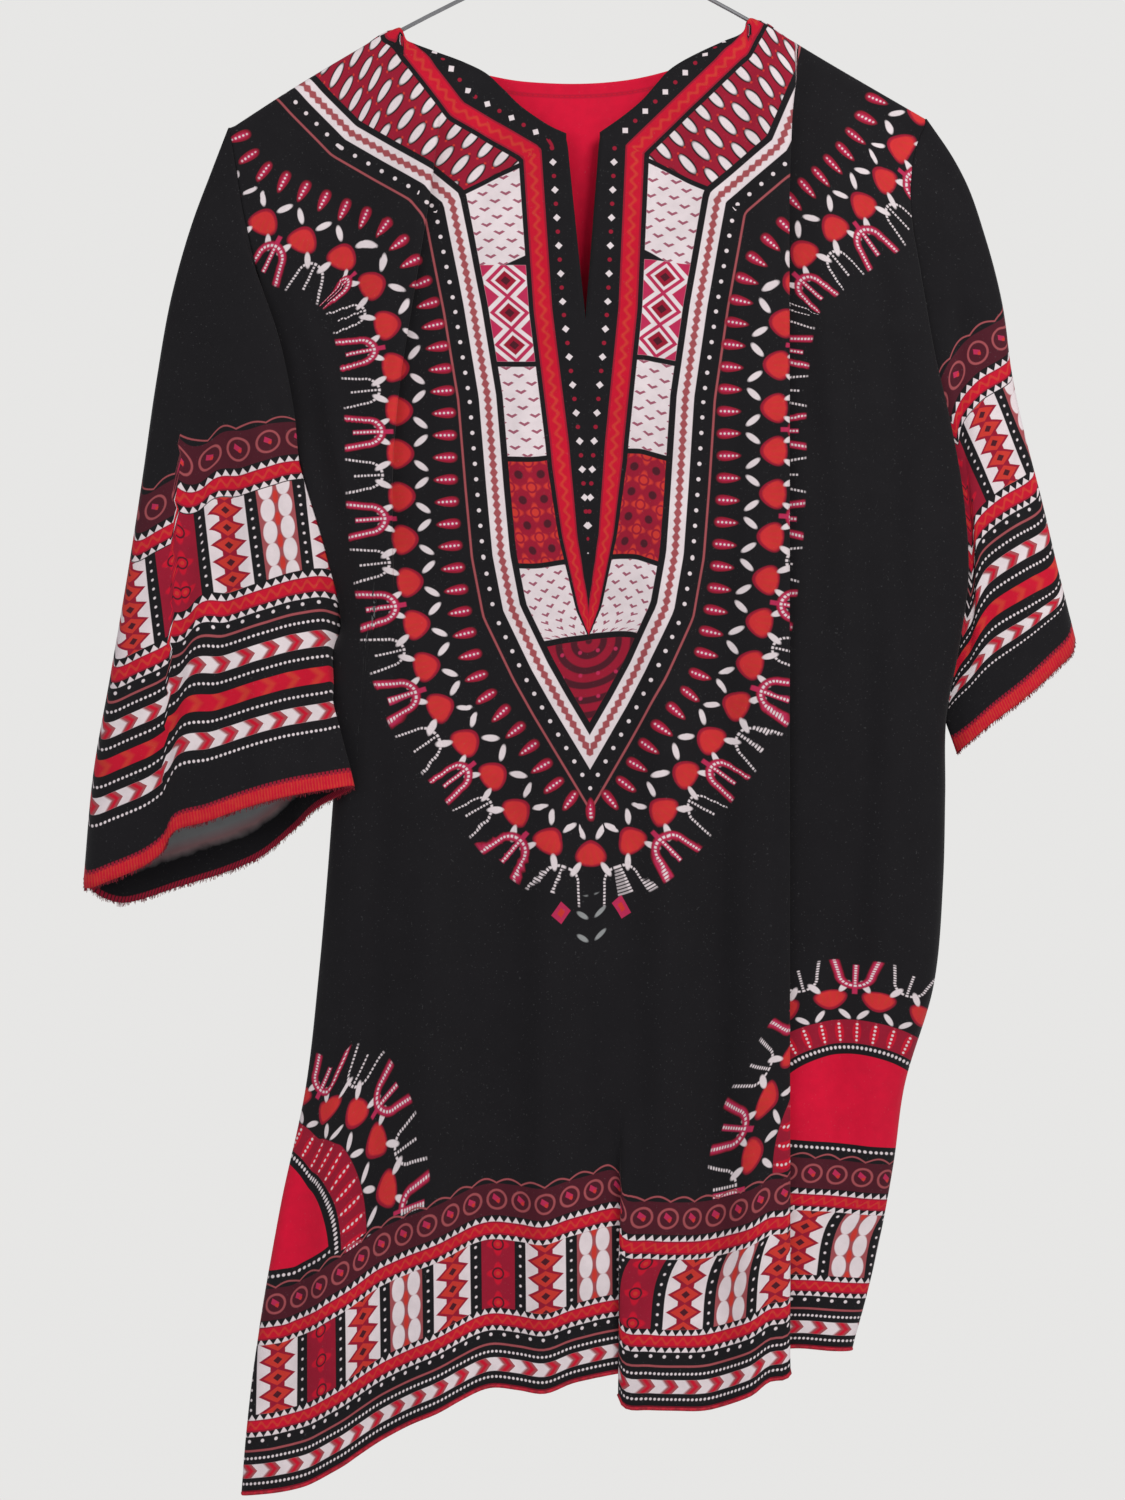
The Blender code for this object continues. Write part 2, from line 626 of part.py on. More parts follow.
def armhole(points, panel, side, underarm):
    """Where a sleeve starts beside a panel's edge, from the top of the shoulder to the underarm."""
    way = np.array([w for w, _ in rows()])
    last = list(way).index(underarm)
    edge, outward = (0, -1) if side == "left" else (-1, 1)
    turn = turned(panel, side, way)
    start = points[edge].copy()
    start[:, 0] += outward * SEAM_REACH * (1 - turn)
    start[:, 1] += (-1 if panel == "back" else 1) * SEAM_BEHIND * turn
    start[0, 1] = 0
    start[last] = [points[edge, last, 0] + outward * UNDERARM_REACH, 0, points[edge, last, 2]]
    return start[: last + 1]


def cuff_points(table, shares):
    """Points of a cuff's edge at the given shares of its half round."""
    return np.stack([through(table, "share", name, shares) for name in ("x", "y", "down")], axis=1)


def sleeve_half(seam, cuff, outward, bulge, folds_over, guide):
    """One half of a sleeve, front or back: stations by rows by x, y, down."""
    count = len(seam)
    way = np.array([w for w, _ in rows()])[:count] + np.array([0, 0.002, 0.004] + [0] * (count - 3))
    shares = (way / way[-1]) ** CUFF_SPREAD
    ends = cuff_points(cuff, shares)
    half = np.zeros((count, len(SLEEVE_STARTS) + len(SLEEVE_WAYS), 3))
    for i in range(count):
        fold = folds_over * ease(0.15, 0.55, shares[i]) * (1 - ease(0.55, 0.85, shares[i]))
        seam_point = seam[i]
        reach = ends[i] - seam_point
        start = seam_point + fold * np.array([*SEAM_FOLD[-1], 0])
        for k, near in enumerate(SLEEVE_STARTS):
            straight = seam_point + reach * near
            straight[0] += outward * through(OUTER, "way", bulge, near) * (1 - shares[i])
            folded = seam_point + np.array([*SEAM_FOLD[k], reach[2] * near])
            half[i, k] = straight + (folded - straight) * fold
        for k, far in enumerate(SLEEVE_WAYS):
            point = start + (ends[i] - start) * far
            point[0] += outward * through(OUTER, "way", bulge, far) * (1 - shares[i])
            half[i, len(SLEEVE_STARTS) + k] = point
    if guide:
        far = np.array(SLEEVE_STARTS + SLEEVE_WAYS)
        half[-1] = np.stack([through(guide, "share", name, far) for name in ("x", "y", "down")], axis=1)
        half[-1, :, 0] += (seam[-1, 0] - half[-1, 0, 0]) * (1 - far)
        half[-1, :, 2] += (seam[-1, 2] - half[-1, 0, 2]) * (1 - far)
    return half


def build_sleeve(side, front, back, underarm, front_cuff, back_cuff, folds_over, guide):
    """A sleeve: a tube from the armhole to the cuff, joined at the outer fold and the underarm."""
    outward = -1 if side == "left" else 1
    front_seam = armhole(front, "front", side, underarm)
    back_seam = armhole(back, "back", side, underarm)
    front_half = sleeve_half(front_seam, front_cuff, outward, side, folds_over, guide)
    back_half = sleeve_half(back_seam, back_cuff, outward, side, 0, guide)
    loop = np.concatenate([front_half, back_half[-2:0:-1]])
    stations, along = loop.shape[:2]
    faces = []
    for i in range(stations):
        after = (i + 1) % stations
        for j in range(along - 1):
            quad = [i * along + j, i * along + j + 1, after * along + j + 1, after * along + j]
            faces.append(quad if outward < 0 else quad[::-1])
    cloth(f"sleeve_{side}", loop.reshape(-1, 3), faces, BORDER_COTTON)


def wire(name, points, radius=WIRE_RADIUS):
    """A round wire through points given in millimetres."""
    curve = bpy.data.curves.new(name, "CURVE")
    curve.dimensions = "3D"
    line = curve.splines.new("POLY")
    line.points.add(len(points) - 1)
    for spot, place in zip(line.points, to_world(points)):
        spot.co = (*place, 1.0)
    curve.bevel_depth = radius * MM
    curve.bevel_resolution = 2
    curve.use_fill_caps = True
    piece = bpy.data.objects.new(name, curve)
    bpy.context.collection.objects.link(piece)
    curve.materials.append(material(GREY_WIRE))
    return piece


def arc(centre, radius, first, last, steps):
    """Points of an arc in the plane of the hanger, angles in degrees from +X towards up."""
    found = []
    for k in range(steps + 1):
        angle = math.radians(first + (last - first) * k / steps)
        found.append((centre[0] + radius * math.cos(angle), 0.0, centre[1] - radius * math.sin(angle)))
    return found


def strand(start_angle):
    """One strand of the twisted neck, from top to bottom."""
    steps = int(TWIST_TURNS * 8)
    found = []
    for k in range(steps + 1):
        angle = math.radians(start_angle) + 2 * math.pi * TWIST_TURNS * k / steps
        down = STEM_LOW + (TWIST_LOW - STEM_LOW - 3) * k / steps
        found.append((TWIST_RADIUS * math.cos(angle), TWIST_RADIUS * math.sin(angle), down))
    return found


def arm_points(first, last, count):
    """Points of the wire under one shoulder, from the neck of the hanger outwards."""
    x = np.linspace(first, last, count)
    return [(float(v), 0.0, float(through(WIRE, "x", "down", v))) for v in x]


def nose_points(end_x, outward):
    """The rounded end of a shoulder, where the wire turns back into the bar."""
    down = float(through(WIRE, "x", "down", end_x))
    before = float(through(WIRE, "x", "down", end_x - outward * 4))
    slope = math.atan2(down - before, 4)
    radius = (BAR_DOWN - down) / (1 + math.cos(slope))
    centre = (end_x - outward * radius * math.sin(slope), down + radius * math.cos(slope))
    found = []
    for k in range(1, 6):
        turn = math.pi / 2 - slope - (math.pi - slope) * k / 5
        found.append((centre[0] + outward * radius * math.cos(turn), 0.0, centre[1] - radius * math.sin(turn)))
    return found + [(found[-1][0] - outward * 2.0, 0.0, BAR_DOWN)]


def build_hanger():
    """The wire hanger: hook, two shoulders and the bar below."""
    top = HOOK_RADIUS - WIRE_RADIUS
    hook = arc((0, top), HOOK_RADIUS, 205, -40, 16)
    stem_top = hook[-1]
    strand_one = strand(0)
    strand_two = strand(180)
    bend = [
        (stem_top[0] - 6, 0.0, stem_top[2] + 7.5), (3.4, 0.0, stem_top[2] + 13.5),
        (strand_one[0][0] + 0.4, 0.0, STEM_LOW - 4),
    ]
    wire("hanger_hook", hook + bend + strand_one)
    left_arm = arm_points(-6, -196, 14)
    left_start = [(-2.4, 0.0, TWIST_LOW - 0.6)]
    wire("hanger_arm_left", left_start + left_arm + nose_points(-196, -1))
    right_arm = arm_points(8, 181, 13)
    right_start = [(strand_two[-1][0] + 2.4, 0.0, TWIST_LOW - 0.6)]
    wire("hanger_arm_right", strand_two + right_start + right_arm + nose_points(181, 1))
    left_end = nose_points(-196, -1)[-1][0] + SEAM_GAP
    right_end = nose_points(181, 1)[-1][0] - SEAM_GAP
    wire("hanger_bar", [(left_end, 0.0, BAR_DOWN), (right_end, 0.0, BAR_DOWN)])


def build():
    """The whole shirt on its hanger."""
    start_empty()
    front = build_front()
    back = build_back(front)
    build_facing(back)
    build_sleeve("left", front, back, UNDERARM_LEFT, CUFF_LEFT_FRONT, CUFF_LEFT_BACK, 1, UNDERARM_GUIDE)
    build_sleeve("right", front, back, UNDERARM_RIGHT, CUFF_RIGHT_FRONT, CUFF_RIGHT_BACK, 0, None)
    build_hanger()


build()
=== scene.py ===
"""The looks of a printed cotton dashiki shirt that hangs on a wire hanger.

Tables are in millimetres: x to the right, down from the rod that carries the hook, y towards the
back. The drape repeats the tables of the part's source, and finer rows and columns run through them.
The print is drawn by the shaders in the flat cloth's own coordinates, so it folds with the cloth.
"""

import json
import logging
import math
from dataclasses import dataclass, field
from enum import Enum
from typing import NamedTuple

import bpy
import numpy as np
from bpy.types import Material, Node, NodeSocket, Object
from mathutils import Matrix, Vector

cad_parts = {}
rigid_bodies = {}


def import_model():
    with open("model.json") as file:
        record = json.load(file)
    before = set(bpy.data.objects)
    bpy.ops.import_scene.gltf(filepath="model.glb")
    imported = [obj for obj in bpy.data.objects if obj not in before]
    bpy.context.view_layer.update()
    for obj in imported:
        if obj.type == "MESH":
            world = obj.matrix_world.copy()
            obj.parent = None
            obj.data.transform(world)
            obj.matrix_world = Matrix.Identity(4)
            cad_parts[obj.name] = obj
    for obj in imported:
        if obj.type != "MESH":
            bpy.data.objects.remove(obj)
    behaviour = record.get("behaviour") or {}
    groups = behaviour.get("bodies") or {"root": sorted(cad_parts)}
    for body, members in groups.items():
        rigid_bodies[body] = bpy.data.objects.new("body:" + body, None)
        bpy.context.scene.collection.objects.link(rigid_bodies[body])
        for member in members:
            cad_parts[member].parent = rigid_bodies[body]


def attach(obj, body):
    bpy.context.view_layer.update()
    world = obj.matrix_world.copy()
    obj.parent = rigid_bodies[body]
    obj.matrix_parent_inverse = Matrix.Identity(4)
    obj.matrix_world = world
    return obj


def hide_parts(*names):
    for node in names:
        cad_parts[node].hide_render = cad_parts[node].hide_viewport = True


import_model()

Array = np.ndarray
LOG = logging.getLogger("dashiki")
MM = 0.001

# The drape: cloth and wire
WALL = 1.0
SEAM_GAP = 0.3
SEAM_HALF = 0.35
SEAM_REACH = 1.1
SEAM_BEHIND = 1.3
PLEAT_STEP = 3.2
PRINT_LENGTH = 770.0
WIRE_RADIUS = 1.2
CLOTH_ON_WIRE = WIRE_RADIUS + SEAM_GAP + WALL / 2 + 0.35

# Shares of the way from the shoulder line to the hem
SLIT_TIP = 0.19
NECK_BLEND = 0.30
UNDERARM_LEFT = 0.375
UNDERARM_RIGHT = 0.488
VENT_TOP = 0.79
WAYS = [0.012, 0.03, 0.045, 0.06, 0.08, 0.1, 0.14, SLIT_TIP, 0.25, 0.31, UNDERARM_LEFT, 0.43]
WAYS += [UNDERARM_RIGHT, 0.55, 0.62, 0.705, VENT_TOP, 0.85, 0.875, 0.9, 0.95, 1.0]
WRAP_ANGLES = [0.0, 45.0, 90.0]

SLIT_HALF_WIDTH = 9.4
CENTRE_TOP = -4.0
CENTRE_HEM = 3.0


class Shoulder(NamedTuple):
    """A point of the wire that carries the shoulders."""

    x: float
    down: float


class Side(NamedTuple):
    """Where the body's outline stands, and how far its front and back edges are apart."""

    way: float
    left: float
    right: float
    front_left: float
    front_right: float
    back_left: float
    back_right: float


class Neck(NamedTuple):
    """Depth of the neckline below the straight line between the neck points."""

    across: float
    front: float
    back: float


class Pleat(NamedTuple):
    """One stretch of a flat fold: its visible edge and the cloth that it takes up."""

    way: float
    edge: float
    take_up: float


class Hem(NamedTuple):
    """A point of the hem."""

    x: float
    down: float


class Soft(NamedTuple):
    """A soft vertical fold. A positive depth is a trough."""

    x_top: float
    x_hem: float
    start: float
    end: float
    width: float
    depth: float


class Outer(NamedTuple):
    """How far a sleeve's outer edge stands out from the straight line to its cuff."""

    way: float
    left: float
    right: float


class Cuff(NamedTuple):
    """A point of a cuff's edge, from the outer fold to the underarm seam."""

    share: float
    x: float
    y: float
    down: float


def rows_of(kind: type, *rows: tuple) -> list:
    """Rows of one kind of named values."""
    return [kind(*row) for row in rows]


WIRE = rows_of(
    Shoulder,
    (-203, 189), (-165, 164.5), (-111, 133), (-60, 107), (1, 77), (50, 103.5), (94, 127.5), (135, 152),
    (190, 184),
)

SIDES = rows_of(
    Side,
    (0.0, -204, 190, -2.1, -2.1, 2.1, 2.1), (0.03, -200, 183, -4.7, -4.4, 3.8, 3.8),
    (0.06, -196, 181.5, -7.2, -5.5, 5.4, 5.4), (0.1, -189, 184.5, -9.7, -6.5, 7.0, 7.0),
    (0.19, -173, 194.5, -12.3, -7.5, 8.7, 8.7), (0.265, -160, 206, -12.8, -8, 9.0, 9.2),
    (0.31, -149.5, 211, -11.5, -8, 8.0, 9.3), (UNDERARM_LEFT, -140, 213.5, -SEAM_HALF, -8, SEAM_HALF, 9.0),
    (0.43, -141.5, 208.5, -SEAM_HALF, -6, SEAM_HALF, 6.5),
    (UNDERARM_RIGHT, -145, 201.6, -SEAM_HALF, -SEAM_HALF, SEAM_HALF, SEAM_HALF),
    (0.594, -151.5, 200.5, -SEAM_HALF, -SEAM_HALF, SEAM_HALF, SEAM_HALF),
    (0.705, -161, 194.5, -SEAM_HALF, -SEAM_HALF, SEAM_HALF, SEAM_HALF),
    (VENT_TOP, -175, 177.5, -SEAM_HALF, -SEAM_HALF, SEAM_HALF, SEAM_HALF),
    (0.85, -183, 171.5, -4, -4, 3, 3),
    (0.93, -192, 160.5, -9, -8, 6, 6), (1.0, -197, 147.7, -9.6, -8.8, 6.2, 6.2),
)

NECK_LEFT = -111.0
NECK_RIGHT = 94.0
NECK = rows_of(
    Neck,
    (0.0, 63, 31), (0.09, 62, 30.8), (0.2, 55, 30), (0.36, 42, 28), (0.5, 26, 24.5), (0.64, 17.5, 20.2),
    (0.8, 10.5, 12.5), (0.92, 5, 6), (1.0, 0, 0),
)

PLEAT_LEFT = rows_of(
    Pleat,
    (0.0, -84, 0), (0.03, -85, 0), (0.06, -86, 2.8), (0.08, -87.6, 5.2), (0.1, -89.2, 8.5), (0.14, -94, 13),
    (SLIT_TIP, -100, 13), (0.25, -107, 9), (0.31, -111, 5.2), (UNDERARM_LEFT, -111.5, 2.8), (0.43, -110, 0),
    (1.0, -108, 0),
)
PLEAT_CENTRE = rows_of(
    Pleat,
    (0.0, 48, 0), (0.45, 34, 0), (VENT_TOP, 19, 0), (0.85, 17.5, 2.8), (0.875, 17.6, 5.2), (0.9, 17.8, 8),
    (0.95, 18, 11), (1.0, 18.2, 14),
)
PLEAT_RIGHT = rows_of(
    Pleat,
    (0.0, 117, 0), (0.03, 116, 2.8), (0.045, 115, 5.2), (0.06, 114, 7.5), (0.14, 112, 11), (0.5, 112, 13),
    (1.0, 112.5, 16),
)

HEM_LEFT = rows_of(
    Hem,
    (-198, 960), (-165, 955), (-142, 943.5), (-119, 928), (-85, 911), (-52, 898), (-28, 901), (-4, 893.5),
    (18, 889.5),
)
HEM_MIDDLE = rows_of(
    Hem,
    (18, 903.5), (30, 909), (62.5, 910.5), (85, 904), (97, 896.5), (112.5, 887.5),
)
HEM_RIGHT = rows_of(
    Hem,
    (95, 877), (119, 876.6), (148, 877.8),
)
HEM_BACK = rows_of(
    Hem,
    (-200, 948), (-119, 917), (-40, 889), (60, 887), (110, 868), (150, 853),
)

FRONT_FOLDS = rows_of(
    Soft,
    (-150, -168, 0.5, 1.0, 14, 5.0), (-96, -92, 0.42, 1.0, 16, -4.0), (-48, -52, 0.5, 1.05, 17, 5.5),
    (-20, -22, 0.3, 1.0, 12, -2.5), (40, 46, 0.3, 1.05, 14, -4.0), (72, 72, 0.25, 1.0, 10, 3.0),
    (84, 90, 0.5, 1.05, 12, -3.5), (150, 138, 0.2, 0.9, 12, 3.5), (186, 170, 0.25, 0.75, 12, -3.0),
    (-160, -135, 0.12, 0.4, 12, 3.0),
)
BACK_FOLDS = rows_of(
    Soft,
    (-150, -160, 0.3, 1.0, 18, -4.0), (-105, -112, 0.15, 1.05, 16, 3.5), (-52, -60, 0.4, 1.05, 18, -4.0),
    (8, 4, 0.1, 1.05, 15, 3.0), (58, 60, 0.35, 1.05, 17, -3.5), (112, 98, 0.12, 1.05, 15, 4.0),
    (160, 132, 0.3, 1.0, 14, -3.5),
)
FRONT_DEPTH = 17.0
BACK_DEPTH = 11.0
SIDE_DEPTH_SHARE = 0.7

# How a panel's edge turns back: inside the outline when flat and when turned, and share of the turn
EDGE_TURN = [(0.0, 1.2, 1.0), (2.6, 0.0, 0.72), (5.2, 0.9, 0.42), (8.0, 3.6, 0.17), (11.0, 8.0, 0.05)]
EDGE_TURN += [(14.0, 14.0, 0.0)]
NECK_STEPS = (3.5, 7.0)

OUTER = rows_of(
    Outer,
    (0.0, 0, 0), (0.08, 6.5, 9), (0.16, 12, 13.5), (0.25, 14, 14), (0.35, 13, 12.5), (0.54, 9, 5.5),
    (0.73, 7, 3.5), (0.9, 5.5, 1), (1.0, 0, 0),
)
CUFF_LEFT_FRONT = rows_of(
    Cuff,
    (0.0, -286, -9, 612), (0.06, -284, -19, 618), (0.16, -272, -25, 614), (0.3, -247, -27.5, 603),
    (0.345, -238.5, -28.5, 595), (0.38, -236, -31.5, 588), (0.5, -215, -32, 580), (0.72, -175, -31, 567),
    (0.9, -145, -29, 561.5), (0.97, -135, -27, 559.5), (1.0, -133, -24.5, 560),
)
CUFF_LEFT_BACK = rows_of(
    Cuff,
    (0.0, -286, -9, 612), (0.06, -283, 0, 619), (0.16, -268, 6, 627), (0.35, -235, 9, 618),
    (0.6, -192, 8, 603), (0.78, -166, 2.5, 583), (0.86, -157, -9, 575), (0.92, -151, -18.5, 568),
    (0.97, -141, -22, 563), (1.0, -133, -24.5, 560),
)
CUFF_RIGHT_FRONT = rows_of(
    Cuff,
    (0.0, 275.5, 0, 477), (0.07, 273.5, -5, 484), (0.2, 264, -8.5, 494), (0.45, 245, -12, 511),
    (0.7, 228, -10, 524), (0.88, 214, -6, 536), (1.0, 208.5, 0, 541),
)
CUFF_RIGHT_BACK = rows_of(
    Cuff,
    (0.0, 275.5, 0, 477), (0.07, 273.5, 5, 482), (0.2, 264, 9, 489), (0.45, 245, 12, 503),
    (0.7, 228, 11, 517), (0.88, 214, 6.5, 532), (1.0, 208.5, 0, 541),
)
# The left sleeve folds over the body's edge: steps right and forward of the seam
SEAM_FOLD = [(0.0, 0.0), (-0.9, -2.6), (2.2, -4.8), (6.4, -6.2), (8.2, -8.4), (6.0, -10.2)]
# The left sleeve's underarm seam passes in front of the body's side
UNDERARM_GUIDE = rows_of(
    Cuff,
    (0.0, -141.5, 0, 481), (0.12, -144, -2.5, 489), (0.25, -146, -8, 499), (0.42, -146, -16.5, 512),
    (0.6, -142, -22.5, 527), (0.8, -137, -24.5, 544), (1.0, -133, -24.5, 560),
)
UNDERARM_REACH = 1.5
SLEEVE_STARTS = [0.0, 0.008, 0.018, 0.03, 0.045, 0.062]
SLEEVE_WAYS = [0.12, 0.22, 0.34, 0.47, 0.6, 0.73, 0.86, 1.0]
CUFF_SPREAD = 0.7

FACING_HALF_WIDTH = 93.0
FACING_WAY = 0.25
FACING_OUT = WALL + SEAM_GAP + 0.1
FACING_BEFORE_BAR = -2.6
# Soft folds of the facing: middle across, width and depth
FACING_FOLDS = [(2.0, 7.0, 1.3), (-17.0, 8.0, -0.9), (26.0, 9.0, 0.8)]

# The cloth is a little longer than its drape is deep, as it leans
LEAN_STRETCH = 1.009

# Measures of the print that its coordinates and its shaders share
RED_WIDTH = 10.4
BUD_REACH = 25.0


def column(table: list, name: str) -> Array:
    """One named column of a table."""
    return np.array([getattr(row, name) for row in table], float)


def cubic(ends: tuple, slopes: tuple, step: Array, u: Array) -> Array:
    """A cubic curve between two values.

    Args:
        ends: Its first and its last value.
        slopes: Its slope at each.
        step: How far apart they are.
        u: Shares of the way between them.

    Returns:
        The curve's values.
    """
    start = ends[0] * (1 + 2 * u) + slopes[0] * step * u
    finish = ends[1] * (3 - 2 * u) - slopes[1] * step * (1 - u)
    return start * (1 - u) ** 2 + finish * u * u


def through(table: list, key: str, name: str, at: Array) -> Array:
    """A smooth curve through a table's column that never overshoots its values.

    Args:
        table: Rows of named values.
        key: The column that holds the knots.
        name: The column that holds the values.
        at: Where the curve is wanted.

    Returns:
        The curve's values.
    """
    knots = column(table, key)
    values = column(table, name)
    step = np.diff(knots)
    rise = np.diff(values) / step
    slope = np.zeros(len(knots))
    slope[0] = rise[0]
    slope[-1] = rise[-1]
    turning = rise[:-1] * rise[1:] <= 0
    mean = 2 * rise[:-1] * rise[1:] / np.where(turning, 1, rise[:-1] + rise[1:])
    slope[1:-1] = np.where(turning, 0, mean)
    at = np.clip(at, knots[0], knots[-1])
    i = np.clip(np.searchsorted(knots, at, side="right") - 1, 0, len(step) - 1)
    u = (at - knots[i]) / step[i]
    return cubic((values[i], values[i + 1]), (slope[i], slope[i + 1]), step[i], u)


def ease(low: float, high: float, at: Array) -> Array:
    """A smooth step from 0 at low to 1 at high."""
    u = np.clip((np.asarray(at, float) - low) / (high - low), 0, 1)
    return u * u * (3 - 2 * u)


def bell(at: Array, middle: Array | float, width: float) -> Array:
    """A smooth bump of height 1."""
    return np.exp(-(((at - middle) / width) ** 2))


def unit(vectors: Array) -> Array:
    """The same directions with a length of 1."""
    return vectors / np.maximum(np.linalg.norm(vectors, axis=-1, keepdims=True), 1e-9)


def run_along(points: Array) -> Array:
    """Length along the first axis from its start to every point."""
    step = np.linalg.norm(np.diff(points[..., :3], axis=0), axis=-1)
    return np.concatenate([np.zeros_like(step[:1]), np.cumsum(step, axis=0)])


def layered(points: Array, *values: Array) -> Array:
    """A grid of places with further values at each."""
    return np.concatenate([points] + [value[..., None] for value in values], axis=-1)


def shoulder_line(x: Array) -> Array:
    """Depth of the shoulder line below the rod, straight across the neck opening."""
    on_wire = through(WIRE, "x", "down", x)
    ends = [through(WIRE, "x", "down", NECK_LEFT), through(WIRE, "x", "down", NECK_RIGHT)]
    across = np.interp(x, [NECK_LEFT, NECK_RIGHT], ends)
    inside = (x > NECK_LEFT) & (x < NECK_RIGHT)
    return np.where(inside, across, on_wire)


def neck_depth(x: Array, panel: str) -> Array:
    """Depth of the neckline below the shoulder line, 0 outside the neck opening."""
    half = np.where(x < CENTRE_TOP, CENTRE_TOP - NECK_LEFT, NECK_RIGHT - CENTRE_TOP)
    return through(NECK, "across", panel, np.abs(x - CENTRE_TOP) / half)


def row_ways() -> Array:
    """Each row's share of the way from the shoulder line to the hem, 0 for those round the wire."""
    return np.array([0.0] * len(WRAP_ANGLES) + WAYS)


def centre_line(way: Array) -> Array:
    """Where the cloth's centre line hangs."""
    return CENTRE_TOP + (CENTRE_HEM - CENTRE_TOP) * way


def pleat_bends(table: list[Pleat], way: Array, behind: int) -> tuple:
    """Where a pleat's bends lie, and how far its layers are stepped apart.

    Args:
        table: The pleat.
        way: Shares of the way down.
        behind: 1 where the cloth on the left lies on top, -1 where it lies underneath.

    Returns:
        The left bend, the right bend, the cloth taken up and the step between the layers.
    """
    take_up = through(table, "way", "take_up", way)
    edge = through(table, "way", "edge", way)
    right_bend = edge if behind > 0 else edge + take_up
    return right_bend - take_up, right_bend, take_up, ease(0.0, 2.8, take_up) * behind


def pleat_columns(table: list[Pleat], way: Array, behind: int) -> list[tuple]:
    """The eight columns of a flat fold: flat where it takes nothing up, then upright, then folded over.

    Args:
        table: The pleat.
        way: Shares of the way down.
        behind: 1 where the cloth on the left lies on top, -1 where it lies underneath.

    Returns:
        Each column's x and its step in depth.
    """
    edge = through(table, "way", "edge", way)
    left_bend, right_bend, take_up, stepped = pleat_bends(table, way, behind)
    radius = PLEAT_STEP / 2
    bends = [(right_bend - radius, a, 1) for a in (-90, -30, 30, 90)]
    bends += [(left_bend, a, -1) for a in (-90, -30, 30, 90)]
    folded = ease(2.8, 7.5, take_up)
    found = []
    for k, (centre, angle, turn) in enumerate(bends):
        bend = math.radians(angle)
        upright = math.radians((angle - turn * 90) / 2)
        x = centre + turn * radius * math.cos(bend)
        y = turn * -radius + radius * math.sin(bend)
        upright_x = edge + turn * radius * (math.cos(upright) - 1)
        upright_y = turn * -radius + radius * math.sin(upright)
        flat = edge + (k - 3.5) * 2.4
        risen = flat + (upright_x - flat) * np.abs(stepped)
        found.append((risen + (x - upright_x) * folded, (upright_y + (y - upright_y) * folded) * stepped))
    return found


def layer_step(x: Array, way: Array) -> Array:
    """How far a plain column is stepped back by the pleats beside it.

    Args:
        x: The column.
        way: Shares of the way down.

    Returns:
        Its step in depth at each row.
    """
    step = np.zeros(len(way))
    for table, behind in ((PLEAT_LEFT, 1), (PLEAT_CENTRE, -1), (PLEAT_RIGHT, 1)):
        left_bend, right_bend, _, stepped = pleat_bends(table, way, behind)
        on_left = x < (left_bend + right_bend) / 2 if x[0] < column(table, "edge")[0] else x < -1e9
        before = -ease(left_bend - 24, left_bend - 2, x)
        beyond = 1 - ease(right_bend + 2, right_bend + 24, x)
        step = step + PLEAT_STEP * stepped * np.where(on_left, before, beyond)
    return step


def at_shares(low: Array, high: Array, shares: tuple | list) -> list[Array]:
    """Columns at the given shares of the way from one to another."""
    return [low + (high - low) * share for share in shares]


def edge_base(panel: str, way: Array) -> Array:
    """How deep a panel lies at its side edges before it turns back."""
    depth = FRONT_DEPTH if panel == "front" else BACK_DEPTH
    return CLOTH_ON_WIRE + depth * SIDE_DEPTH_SHARE * fall(way, 70)


def turned(panel: str, side: str, way: Array) -> Array:
    """How far a panel's edge is turned back: 0 where it lies flat, 1 where it is rounded."""
    edge = np.abs(through(SIDES, "way", f"{panel}_{side}", way))
    return ease(1.2, 5.5, edge_base(panel, way) - edge)


def edge_columns(panel: str, side: str, way: Array) -> list[tuple]:
    """The columns of a panel's edge from the outline inwards.

    Args:
        panel: Front or back.
        side: Left or right.
        way: Shares of the way down.

    Returns:
        Each column's x and its share of the turn.
    """
    outline = through(SIDES, "way", side, way)
    inwards = 1 if side == "left" else -1
    turn = turned(panel, side, way)
    return [(outline + inwards * (flat + (bent - flat) * turn), share) for flat, bent, share in EDGE_TURN]


